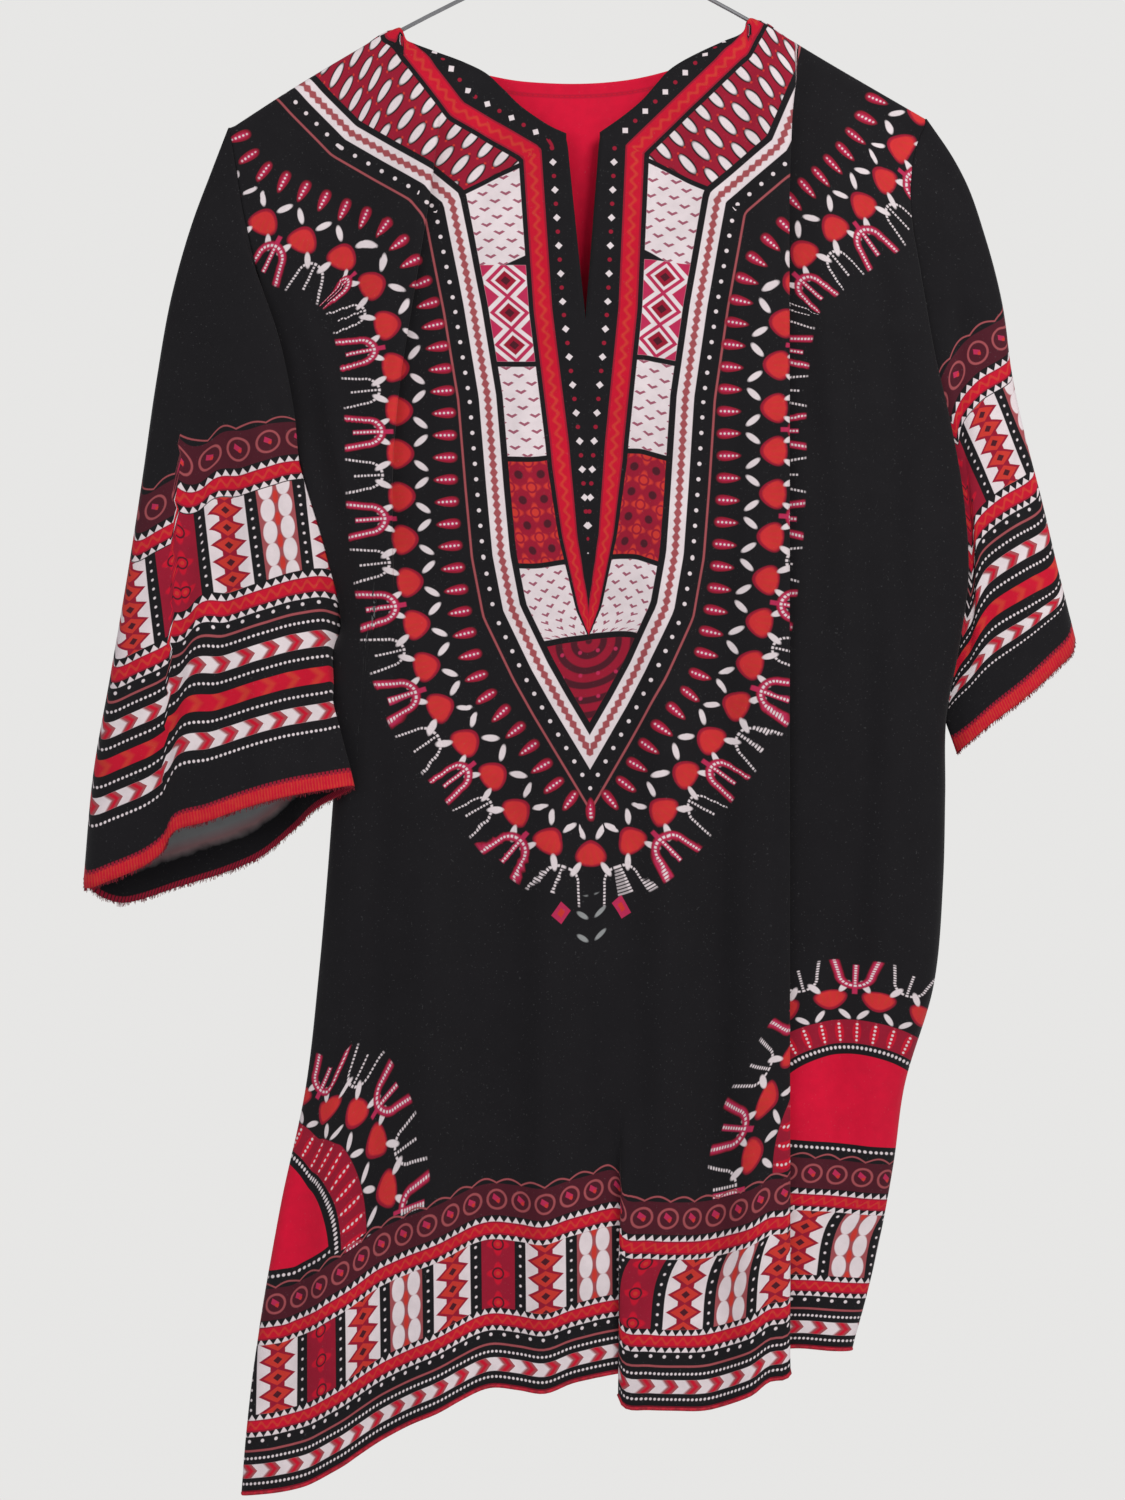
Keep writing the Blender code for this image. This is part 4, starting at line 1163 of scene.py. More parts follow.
@dataclass
class ShirtBody:
    """The front and the back."""

    spacing_front: float = 3.5
    spacing_back: float = 4.8
    spacing_facing: float = 4.0
    row_spacing: float = 4.2
    held: float = 6.0
    hem_ripple: float = 1.1
    ripple_reach: float = 26.0
    off_wire: tuple = (6.0, 30.0)
    drawn_in: float = 7.5
    drawn_width: float = 14.0
    drawn_levels: tuple = (468.0, 488.0, 535.0, 562.0)
    sprig_half: float = 70.0
    hem_print: tuple = (546.0, 508.0)
    front: Array = field(init=False)
    back: Array = field(init=False)
    slit: int = field(init=False, default=0)

    def __post_init__(self) -> None:
        """Work out the coarse drape, which is the same as the solids'."""
        self.columns = front_columns()
        way = row_ways()
        first = pleat_columns(PLEAT_LEFT, way, 1)[0][0]
        self.tuck = next(i for i, (x, _, _, _) in enumerate(self.columns) if np.allclose(x, first))
        self.front = panel_points(self.columns, front_hems(self.columns), "front")
        self.back = back_points(self.front)
        self.slit = next(i for i, (x, _, _, _) in enumerate(self.columns) if x[0] > CENTRE_TOP) - 1

    def down_cloth(self, points: Array, panel: str) -> Array:
        """Each point's distance below the shoulder line on the flat cloth."""
        ways = [ways_down(float(column[0, 0]), panel) for column in points]
        down = np.array(ways) * PRINT_LENGTH
        down[:, :2] += np.array([-3.6, -1.8])
        return down

    def wave(
        self, places: Array, normal: Array, creases: list[Crease], flat: tuple, calm: float, shift: float
    ) -> None:
        """Raise the creases and the hem's small uneven waves out of a sheet.

        Args:
            places: The sheet's points, which are moved.
            normal: Their normals.
            creases: The creases.
            flat: Distances across and down the flat cloth.
            calm: How far down the cloth hangs freely.
            shift: How far the hem's waves are moved along it.
        """
        across, down = flat
        rise = crease_height(creases, places[..., 0], places[..., 2])
        rise *= ease(self.held, calm, down) * edge_calm(across)
        along = across + shift
        waves = np.sin(along / 8.5) + 0.6 * np.sin(along / 5.1 + 1.3) + 0.5 * np.sin(along / 17.0 + 0.4)
        rise += self.hem_ripple * np.exp(-(PRINT_LENGTH - down) / self.ripple_reach) * waves
        places += normal * rise[..., None]

    def build_front(self, materials: list[Material]) -> Object:
        """The front, one sheet with the neck slit open down to its tip."""
        way = row_ways()
        centre = centre_line(way)
        across = flat_across(self.front, centre, self.slit)
        right = flat_across(self.front, centre, self.slit + 1)
        across[self.slit + 1 :] = right[self.slit + 1 :]
        down = self.down_cloth(self.front, "front")
        data = layered(self.front, across, down, *self.shown_places(way, centre), self.front_level(down))
        counts = steps_for(data, self.spacing_front)
        counts[self.slit] = 1
        left_half = finer(data[: self.slit + 1], counts[: self.slit])
        right_half = finer(data[self.slit + 1 :], counts[self.slit + 1 :])
        by_rows = np.concatenate([left_half, right_half]).transpose(1, 0, 2)
        row_counts = steps_for(by_rows, self.row_spacing)
        fine = finer(by_rows, row_counts).transpose(1, 0, 2)
        slit = sum(counts[: self.slit])
        tip = sum(row_counts[: list(way).index(SLIT_TIP)])
        fine[slit : slit + 2, tip:] = (fine[slit, tip:] + fine[slit + 1, tip:]) / 2
        places = fine[..., :3].copy()
        across, down, shown, over_tuck, level = np.moveaxis(fine[..., 3:], -1, 0)
        normal = normals_of(places, np.array([0.0, -1.0, 0.0]))
        normal[slit : slit + 2] = (normal[slit - 1] + normal[slit + 2]) / 2
        self.wave(places, normal, FRONT_CREASES, (across, down), 40.0, 0.0)
        self.draw_in(places)
        columns, length = places.shape[:2]
        welded = {(slit + 1) * length + j: slit * length + j for j in range(tip, length)}
        faces = []
        for quad in grid_faces(columns, length, False):
            if quad[0] // length != slit:
                faces.append([welded.get(corner, corner) for corner in quad])
        guides = (RED_GUIDE, WHITE_GUIDE, RING_GUIDE)
        prints = self.print_places(shown, down, level, guides, over_tuck > 0.5)
        prints["cloth"][..., 0] = across
        self.fine_front = places
        return self.build_panel("shirt_front", places, prints, faces, materials)

    def front_level(self, down: Array) -> Array:
        """How far the front's points lie below the neck's level, along the cloth at the wire.

        Args:
            down: Distances down the flat cloth from the shoulder line.

        Returns:
            Distances down the print.
        """
        x = self.front[..., 0]
        hung = below_neck(x) + LEAN_STRETCH * (self.front[..., 2] - shoulder_line(x))
        on_wire = down + below_neck(x[:, :1])
        return on_wire + (hung - on_wire) * ease(*self.off_wire, down)

    def draw_in(self, places: Array) -> None:
        """Move the front's left edge behind the left sleeve's fold, so that no gap shows beside it.

        Args:
            places: The front's points, which are moved.
        """
        start, full, still, end = self.drawn_levels
        level = places[..., 2]
        share = ease(start, full, level) * (1 - ease(still, end, level))
        places[..., 0] -= self.drawn_in * share * bell(places[..., 0], places[:1, :, 0], self.drawn_width)

    def build_panel(
        self, name: str, places: Array, prints: dict, faces: list, materials: list[Material]
    ) -> Object:
        """Make a panel, with the wrong side's materials two slots after the right side's."""
        return ClothSheet(name, places, prints, faces).build(materials, self.slots(prints, faces), 2)

    def slots(self, prints: dict[str, Array], faces: list[list[int]]) -> Array:
        """Which faces carry the neck's print, and which the hem's."""
        flat = prints["cloth"].reshape(-1, 3)
        first = flat[[face[0] for face in faces]]
        limit = np.where(np.abs(first[:, 0]) < self.sprig_half, *self.hem_print)
        return np.where(first[:, 1] > limit, 1, 0)

    def shown_places(self, way: Array, centre: Array) -> tuple[Array, Array]:
        """Where the print lies on the front's coarse columns.

        The long fold on the right hides some of it.

        Args:
            way: Each row's share of the way down.
            centre: Each row's centre line.

        Returns:
            Distances across the print, and 1 where a column lies on the left of the tuck.
        """
        shown = self.front[..., 0] - centre
        parts = [part for _, _, _, part in self.columns]
        over_tuck = np.zeros(shown.shape)
        right = parts.index("right_pleat") + 4
        hidden = np.interp(way * PRINT_LENGTH, *np.array(HIDDEN_FOLD).T)
        shown[right:] += hidden
        over_tuck[: self.tuck + 4] = 1.0
        return shown, over_tuck

    def print_places(
        self, across: Array, down: Array, level: Array, guides: tuple, over_tuck: Array | None
    ) -> dict[str, Array]:
        """The print's coordinates at every point.

        Args:
            across: Distances across the print.
            down: Distances down it from the shoulder line.
            level: Distances down it from the neck's level.
            guides: The guides of the red band, the white band and the outer rings.
            over_tuck: Where the cloth lies left of the tuck, on the front.

        Returns:
            Named attributes of three values each.
        """
        front = over_tuck is not None
        red, white, ring = [leveled(guide, 1, front) for guide in guides]
        red_out, red_along = guide_place(red, across, level, True)
        white_out, white_along = guide_place(white, across, level, True)
        curve = smooth_guide(ring)
        ring_out, ring_along = guide_place(curve, across, level, False)
        _, bud_along = guide_place(beside_guide(curve, BUD_REACH), across, level, False)
        if front:
            left = guide_place(leveled(LEFT_RED_GUIDE, -1, False), across, level, True)
            red_out = np.where(across < 0, left[0], red_out)
            red_along = np.where(across < 0, left[1], red_along)
            thick = np.interp(down, *np.array(RED_BAND).T)
            red_out = np.where(red_out > 0, red_out * RED_WIDTH / thick, red_out)
            left = guide_place(leveled(LEFT_WHITE_GUIDE, -1, False), across, level, True)
            white_out = np.where(over_tuck, left[0], white_out)
            white_along = np.where(over_tuck, left[1], white_along)
            curve = smooth_guide(leveled(RING_GUIDE, -1, False))
            left = guide_place(curve, across, level, False)
            ring_out = np.where(across < 0, left[0], ring_out)
            ring_along = np.where(across < 0, left[1], ring_along)
            left = guide_place(beside_guide(curve, BUD_REACH), across, level, False)
            bud_along = np.where(across < 0, left[1], bud_along)
        return {
            "cloth": np.stack([across, down, red_out], axis=-1),
            "yoke": np.stack([white_out, white_along, red_along], axis=-1),
            "rings": np.stack([ring_out, ring_along, bud_along], axis=-1),
            "shown": np.stack([across, 0 * down, 0 * down], axis=-1),
        }

    def build_back(self, materials: list[Material]) -> Object:
        """The back, one sheet with a shallow neckline."""
        middle = int(np.argmin(np.abs(self.back[:, 0, 0] - CENTRE_TOP)))
        across = flat_across(self.back, centre_line(row_ways()), middle)
        down = self.down_cloth(self.back, "back")
        data = layered(self.back, across, down, down + below_neck(self.back[:, :1, 0]))
        fine = fine_sheet(data, self.spacing_back, self.row_spacing)
        places = fine[..., :3].copy()
        across, down, level = np.moveaxis(fine[..., 3:], -1, 0)
        normal = normals_of(places, np.array([0.0, 1.0, 0.0]))
        self.wave(places, normal, BACK_CREASES, (across, down), 60.0, 40.0)
        faces = grid_faces(*places.shape[:2], True)
        guides = (BACK_RED_GUIDE, BACK_WHITE_GUIDE, BACK_RING_GUIDE)
        prints = self.print_places(across, down, level, guides, None)
        self.fine_back = places
        return self.build_panel("shirt_back", places, prints, faces, materials)

    def build_facing(self, materials: list[Material]) -> Object:
        """The red facing inside the back neck, which hangs in front of the hanger's bar."""
        coarse = facing_points(self.back)
        middle = int(np.argmin(np.abs(coarse[:, 0, 0] - CENTRE_TOP)))
        down = run_along(coarse.transpose(1, 0, 2)).T
        data = layered(coarse, flat_across(coarse, CENTRE_TOP, middle), down)
        fine = fine_sheet(data, self.spacing_facing, self.spacing_facing)
        places = fine[..., :3].copy()
        across, down = np.moveaxis(fine[..., 3:], -1, 0)
        folds = sum(depth * bell(across, at, width) for at, width, depth in FACING_FOLDS)
        places[..., 1] -= folds * ease(10, 60, down)
        faces = grid_faces(*places.shape[:2], True)
        flat = np.stack([across, down, 0 * down], axis=-1)
        sheet = ClothSheet("back_neck_facing", places, {"cloth": flat}, faces)
        return sheet.build(materials, np.zeros(len(faces)), 0)


def edge_calm(across: Array) -> Array:
    """How freely the cloth moves beside its side seams: 0 at them, 1 well inside."""
    left = ease(4, 26, across - across.min(axis=0, keepdims=True))
    right = ease(4, 26, across.max(axis=0, keepdims=True) - across)
    return left * right


@dataclass
class Sleeve:
    """A wide sleeve, one tube from the armhole to its cuff."""

    side: str
    underarm: float
    front_cuff: list
    back_cuff: list
    folds_over: float
    guide: list | None
    creases: list[Crease]
    lean: float
    spacing: float = 4.0
    calm_seam: float = 26.0
    allowance: float = 2.4
    grain_level: float = 420.0
    above_cuff: tuple = (10.0, 42.0)
    row_drop: tuple = (18.6, -0.45, 0.04)
    cuff_fold: tuple = (-235.0, -0.039, 452.0)
    fold_lift: float = 25.0
    fold_reach: float = 20.7
    flat_lift: float = 7.0
    full_height: float = 195.0

    def build(self, body: ShirtBody, materials: list[Material]) -> Object:
        """Make the sleeve beside the body.

        Args:
            body: The shirt's body, whose edges the sleeve starts from.
            materials: The right and the wrong side.

        Returns:
            The new object.
        """
        outward = -1 if self.side == "left" else 1
        halves = []
        for panel, points, cuff, over in (
            ("front", body.front, self.front_cuff, self.folds_over),
            ("back", body.back, self.back_cuff, 0),
        ):
            seam = armhole(points, panel, self.side, self.underarm)
            halves.append(sleeve_half(seam, cuff, outward, self.side, over, self.guide))
        front_half, back_half = halves
        loop = np.concatenate([front_half, back_half[-2:0:-1]])
        middle = loop[..., 1].mean(axis=0, keepdims=True)
        inner = loop[:, :1].copy()
        inner[..., 0] -= outward * self.allowance
        inner[..., 1] += np.clip((middle[:, :1] - inner[..., 1]) * 0.4, -1.3, 1.3)
        loop = np.concatenate([inner, loop], axis=1)
        lines = loop.transpose(1, 0, 2)
        total = run_along(lines)
        fine = finer(layered(lines, total[-1] - total), steps_for(lines, self.spacing))
        around = fine.transpose(1, 0, 2)
        closed = np.concatenate([around, around[:1]])
        counts = steps_for(closed, self.spacing)
        fine = finer(around, counts, closed=True)
        places = fine[..., :3].copy()
        turn, print_height = self.print_places(places, fine[..., 3], sum(counts[: front_half.shape[0] - 1]))
        centre = places.mean(axis=0, keepdims=True)
        round_it = np.roll(places, -1, axis=0) - np.roll(places, 1, axis=0)
        normal = unit(np.cross(round_it, np.gradient(places, axis=1)))
        if float((normal * (places - centre)).sum()) < 0:
            normal = -normal
        from_seam = fine[..., 3].max(axis=1, keepdims=True) - fine[..., 3]
        in_front = places[..., 1] < centre[..., 1]
        rise = crease_height(self.creases, places[..., 0], places[..., 2])
        rise = rise * np.where(in_front, 1.0, -0.7)
        calm = ease(self.calm_seam, self.calm_seam + 40, from_seam)
        places += normal * (rise * calm)[..., None]
        stations, along = places.shape[:2]
        faces = []
        for i in range(stations):
            after = (i + 1) % stations
            for j in range(along - 1):
                quad = [i * along + j, i * along + j + 1, after * along + j + 1, after * along + j]
                faces.append(quad if outward < 0 else quad[::-1])
        self.cuff = places[:, -1]
        self.cuff_inner = places[:, -2]
        flat = np.stack([turn, print_height, 0 * turn], axis=-1)
        sheet = ClothSheet(f"shirt_sleeve_{self.side}", places, {"cloth": flat}, faces)
        return sheet.build(materials, np.zeros(len(faces)), 1)

    def print_places(self, places: Array, height: Array, front: int) -> tuple[Array, Array]:
        """Where the print lies on the sleeve.

        Its columns lean as the cloth's grain does and continue behind, round the outer edge. Its rows
        step where the left cuff is folded, and drop toward the right sleeve's outer edge.

        Args:
            places: Stations by rows by place.
            height: Cloth length above the cuff.
            front: The last station of the front half.

        Returns:
            Distances round the sleeve and heights above the cuff.
        """
        x, level = places[..., 0], places[..., 2]
        lie = x - self.lean * (level - self.grain_level)
        outer = lie[:1]
        behind = np.arange(len(lie))[:, None] > front
        turn = np.where(behind, 2 * outer - lie, lie)
        settled = ease(*self.above_cuff, height)
        if self.side == "right":
            lift, by_width, by_height = self.row_drop
            return turn, height + (lift + by_width * np.abs(x - x[:1]) + by_height * height) * settled
        fold_x, fold_lean, fold_level = self.cuff_fold
        past_fold = x - fold_x - fold_lean * (level - fold_level)
        lifted = self.fold_lift * np.exp(-np.maximum(past_fold, 0) / self.fold_reach)
        lifted = np.where(behind | (past_fold <= 0), self.flat_lift, lifted)
        return turn, height - lifted * settled * height / self.full_height


class Dye(Enum):
    """Colours of the printed cloth and its threads."""

    BLACK = (0.0062, 0.0053, 0.0070)
    RED = (0.60, 0.003, 0.026)
    BRIGHT_RED = (0.70, 0.002, 0.035)
    ORANGE = (0.62, 0.038, 0.026)
    CORAL = (0.66, 0.028, 0.032)
    CRIMSON = (0.33, 0.006, 0.028)
    MAROON = (0.075, 0.007, 0.016)
    PINK = (0.52, 0.022, 0.090)
    ROSE = (0.38, 0.080, 0.090)
    MAUVE = (0.36, 0.100, 0.150)
    WHITE = (0.82, 0.72, 0.74)
    GREY = (0.30, 0.31, 0.31)


class Value:
    """A number that varies over a surface: one output of a material's nodes."""

    def __init__(self, desk: "Desk", socket: NodeSocket) -> None:
        """Keep the socket and the desk whose nodes it belongs to."""
        self.desk = desk
        self.socket = socket

    def __add__(self, other: "Value | float") -> "Value":
        """Sum."""
        return self.desk.maths("ADD", self, other)

    __radd__ = __add__

    def __sub__(self, other: "Value | float") -> "Value":
        """Difference."""
        return self.desk.maths("SUBTRACT", self, other)

    def __rsub__(self, other: float) -> "Value":
        """Difference from a plain number."""
        return self.desk.maths("SUBTRACT", other, self)

    def __mul__(self, other: "Value | float") -> "Value":
        """Product."""
        return self.desk.maths("MULTIPLY", self, other)

    __rmul__ = __mul__

    def __truediv__(self, other: "Value | float") -> "Value":
        """Quotient."""
        return self.desk.maths("DIVIDE", self, other)

    def __neg__(self) -> "Value":
        """Opposite."""
        return self.desk.maths("MULTIPLY", self, -1.0)

    def __abs__(self) -> "Value":
        """Size without sign."""
        return self.desk.maths("ABSOLUTE", self)

    def sine(self, period: float, shift: float = 0.0) -> "Value":
        """A sine wave along this value."""
        turn = self.desk.maths("MULTIPLY_ADD", self, 2 * math.pi / period, shift)
        return self.desk.maths("SINE", turn)

    def fold(self, pitch: float, shift: float = 0.0) -> "Value":
        """Distance from the middle of the nearest repeat."""
        moved = self + shift if shift else self
        return self.desk.maths("WRAP", moved, pitch / 2, -pitch / 2)

    def below(self, edge: float, soft: float = 0.35) -> "Value":
        """A mask that is 1 under an edge, with a soft border."""
        return self.desk.maths("MULTIPLY_ADD", self, -1 / soft, edge / soft + 0.5, clamp=True)

    def above(self, edge: float, soft: float = 0.35) -> "Value":
        """A mask that is 1 over an edge, with a soft border."""
        return self.desk.maths("MULTIPLY_ADD", self, 1 / soft, 0.5 - edge / soft, clamp=True)

    def between(self, low: float, high: float, soft: float = 0.35) -> "Value":
        """A mask that is 1 from one edge to another."""
        return abs(self - (low + high) / 2).below((high - low) / 2, soft)

    def either(self, other: "Value") -> "Value":
        """The larger of two masks."""
        return self.desk.maths("MAXIMUM", self, other)


class Desk:
    """One material and its nodes."""

    def __init__(self, name: str) -> None:
        """Start an empty material with a Principled shader."""
        self.material = bpy.data.materials.new(name)
        self.material.use_nodes = True
        self.tree = self.material.node_tree
        self.tree.nodes.clear()
        self.shader = self.node("ShaderNodeBsdfPrincipled")
        self.node("ShaderNodeOutputMaterial", {}, {"Surface": self.shader.outputs["BSDF"]})

    def node(self, kind: str, settings: dict | None = None, inputs: dict | None = None) -> Node:
        """Make a node.

        Args:
            kind: The node's type.
            settings: Its properties, set first.
            inputs: Values, Values of the desk or sockets by input name or number.

        Returns:
            The new node.
        """
        made = self.tree.nodes.new(kind)
        for name, value in (settings or {}).items():
            setattr(made, name, value)
        for key, value in (inputs or {}).items():
            self.feed(made.inputs[key], value)
        return made

    def feed(self, taker: NodeSocket, value: object) -> None:
        """Link a value or a node's output to an input, or set a plain number or colour there.

        Args:
            taker: The input.
            value: What it takes.
        """
        if isinstance(value, Value):
            value = value.socket
        if isinstance(value, NodeSocket):
            self.tree.links.new(value, taker)
        else:
            taker.default_value = (*value, 1.0) if taker.type == "RGBA" else value

    def surface(
        self, colour: object, rough: object, relief: Value, strength: float, height: float
    ) -> Material:
        """Dress the shader.

        Args:
            colour: Its base colour.
            rough: Its roughness.
            relief: Its relief.
            strength: How strongly the relief shows.
            height: The relief's height in metres.

        Returns:
            The desk's material.
        """
        bump = self.node("ShaderNodeBump", {}, {"Strength": strength, "Distance": height, "Height": relief})
        for name, value in (("Base Color", colour), ("Roughness", rough), ("Normal", bump.outputs[0])):
            self.feed(self.shader.inputs[name], value)
        return self.material

    def maths(self, operation: str, *values: "Value | float", clamp: bool = False) -> Value:
        """A Math node on values and numbers."""
        settings = {"operation": operation, "use_clamp": clamp}
        return Value(self, self.node("ShaderNodeMath", settings, dict(enumerate(values))).outputs[0])

    def places(self, name: str) -> tuple[Value, Value, Value]:
        """The three values of a named attribute, in millimetres."""
        source = self.node("ShaderNodeAttribute", {"attribute_name": name})
        split = self.node("ShaderNodeSeparateXYZ", {}, {0: source.outputs["Vector"]})
        return tuple(Value(self, split.outputs[i]) for i in range(3))

    def speckle(self, scale: float, detail: float, rough: float = 0.5) -> Value:
        """Noise on the piece's own coordinates, scale in repeats a metre."""
        spot = self.node("ShaderNodeTexCoord")
        settings = {"Vector": spot.outputs["Object"], "Scale": scale, "Detail": detail, "Roughness": rough}
        return Value(self, self.node("ShaderNodeTexNoise", {}, settings).outputs[0])

    def length(self, x: Value, y: Value) -> Value:
        """The length of a vector of two values."""
        both = self.node("ShaderNodeCombineXYZ", {}, {0: x, 1: y})
        made = self.node("ShaderNodeVectorMath", {"operation": "LENGTH"}, {0: both.outputs[0]})
        return Value(self, made.outputs["Value"])

    def oval(self, x: Value, y: Value, half_x: float, half_y: float, soft: float = 0.35) -> Value:
        """A mask of an oval."""
        smaller = min(half_x, half_y)
        return self.length(x * (smaller / half_x), y * (smaller / half_y)).below(smaller, soft)

    def lozenge(self, x: Value, y: Value, half_x: float, half_y: float) -> Value:
        """A mask of a lozenge."""
        return (abs(x) + abs(y) * (half_x / half_y)).below(half_x, 0.4)

    def blend(self, first: object, second: object, factor: Value) -> NodeSocket:
        """A colour between two colours."""
        made = self.node("ShaderNodeMix", {"data_type": "RGBA"}, {0: factor, 6: first, 7: second})
        return made.outputs[2]

    def dot(self, x: Value, y: Value, radius: float, soft: float = 0.35) -> Value:
        """A mask of a round dot."""
        return self.oval(x, y, radius, radius, soft)


class Ink:
    """The print's colour, laid on colour by colour."""

    def __init__(self, desk: Desk, ground: Dye) -> None:
        """Start from the ground colour."""
        self.desk = desk
        self.colour = ground.value

    def lay(self, mask: Value, dye: Dye) -> None:
        """Print one colour over the others."""
        self.colour = self.desk.blend(self.colour, dye.value, mask)


class RowKind(Enum):
    """The kinds of row in the borders of the hem and the sleeves."""

    EDGE = "edge"
    DOTS = "dots"
    LINE = "line"
    CHEVRONS = "chevrons"
    RED_CHEVRONS = "red chevrons"
    TEETH = "teeth"
    WAVE = "wave"
    BLOCKS = "blocks"
    RINGS = "rings"
    SCALLOPS = "scallops"


class Row(NamedTuple):
    """One row of a border: its middle above the edge, half its height, and its repeat."""

    kind: RowKind
    middle: float
    half: float
    pitch: float


HEM_ROWS = rows_of(
    Row,
    (RowKind.EDGE, 0.0, 1.6, 4), (RowKind.DOTS, 5.4, 0.75, 2.4), (RowKind.CHEVRONS, 12.4, 3.8, 13.4),
    (RowKind.DOTS, 19.6, 0.75, 2.4), (RowKind.LINE, 23.8, 0.6, 4), (RowKind.DOTS, 29.2, 0.95, 7.6),
    (RowKind.TEETH, 33.2, 1.6, 4.6), (RowKind.WAVE, 37.8, 3.4, 6.2), (RowKind.TEETH, 42.6, 1.6, 4.6),
    (RowKind.BLOCKS, 63.6, 19.4, 13.2), (RowKind.TEETH, 84.6, 1.6, 4.6), (RowKind.WAVE, 89.4, 3.6, 6.2),
    (RowKind.TEETH, 94.6, 1.6, 4.6), (RowKind.RINGS, 105.6, 9.0, 14.2),
    (RowKind.SCALLOPS, 116.2, 1.4, 14.2),
)
SLEEVE_ROWS = rows_of(
    Row,
    (RowKind.DOTS, 34.0, 0.8, 2.6), (RowKind.CHEVRONS, 44.4, 4.6, 14.0), (RowKind.DOTS, 54.8, 0.8, 2.6),
    (RowKind.RED_CHEVRONS, 65.2, 4.6, 14.0), (RowKind.DOTS, 75.6, 0.8, 2.6),
    (RowKind.CHEVRONS, 86.0, 4.6, 14.0), (RowKind.DOTS, 96.2, 0.8, 2.6), (RowKind.LINE, 101.8, 0.7, 4),
    (RowKind.DOTS, 106.6, 1.0, 8.6), (RowKind.TEETH, 111.2, 1.8, 5.2), (RowKind.WAVE, 117.2, 4.4, 7.0),
    (RowKind.TEETH, 123.2, 1.8, 5.2), (RowKind.BLOCKS, 152.4, 26.6, 13.2), (RowKind.TEETH, 181.4, 1.8, 5.2),
    (RowKind.WAVE, 187.2, 4.2, 7.0), (RowKind.TEETH, 193.0, 1.8, 5.2), (RowKind.RINGS, 206.0, 10.6, 17.0),
    (RowKind.SCALLOPS, 219.0, 1.4, 17.0),
)


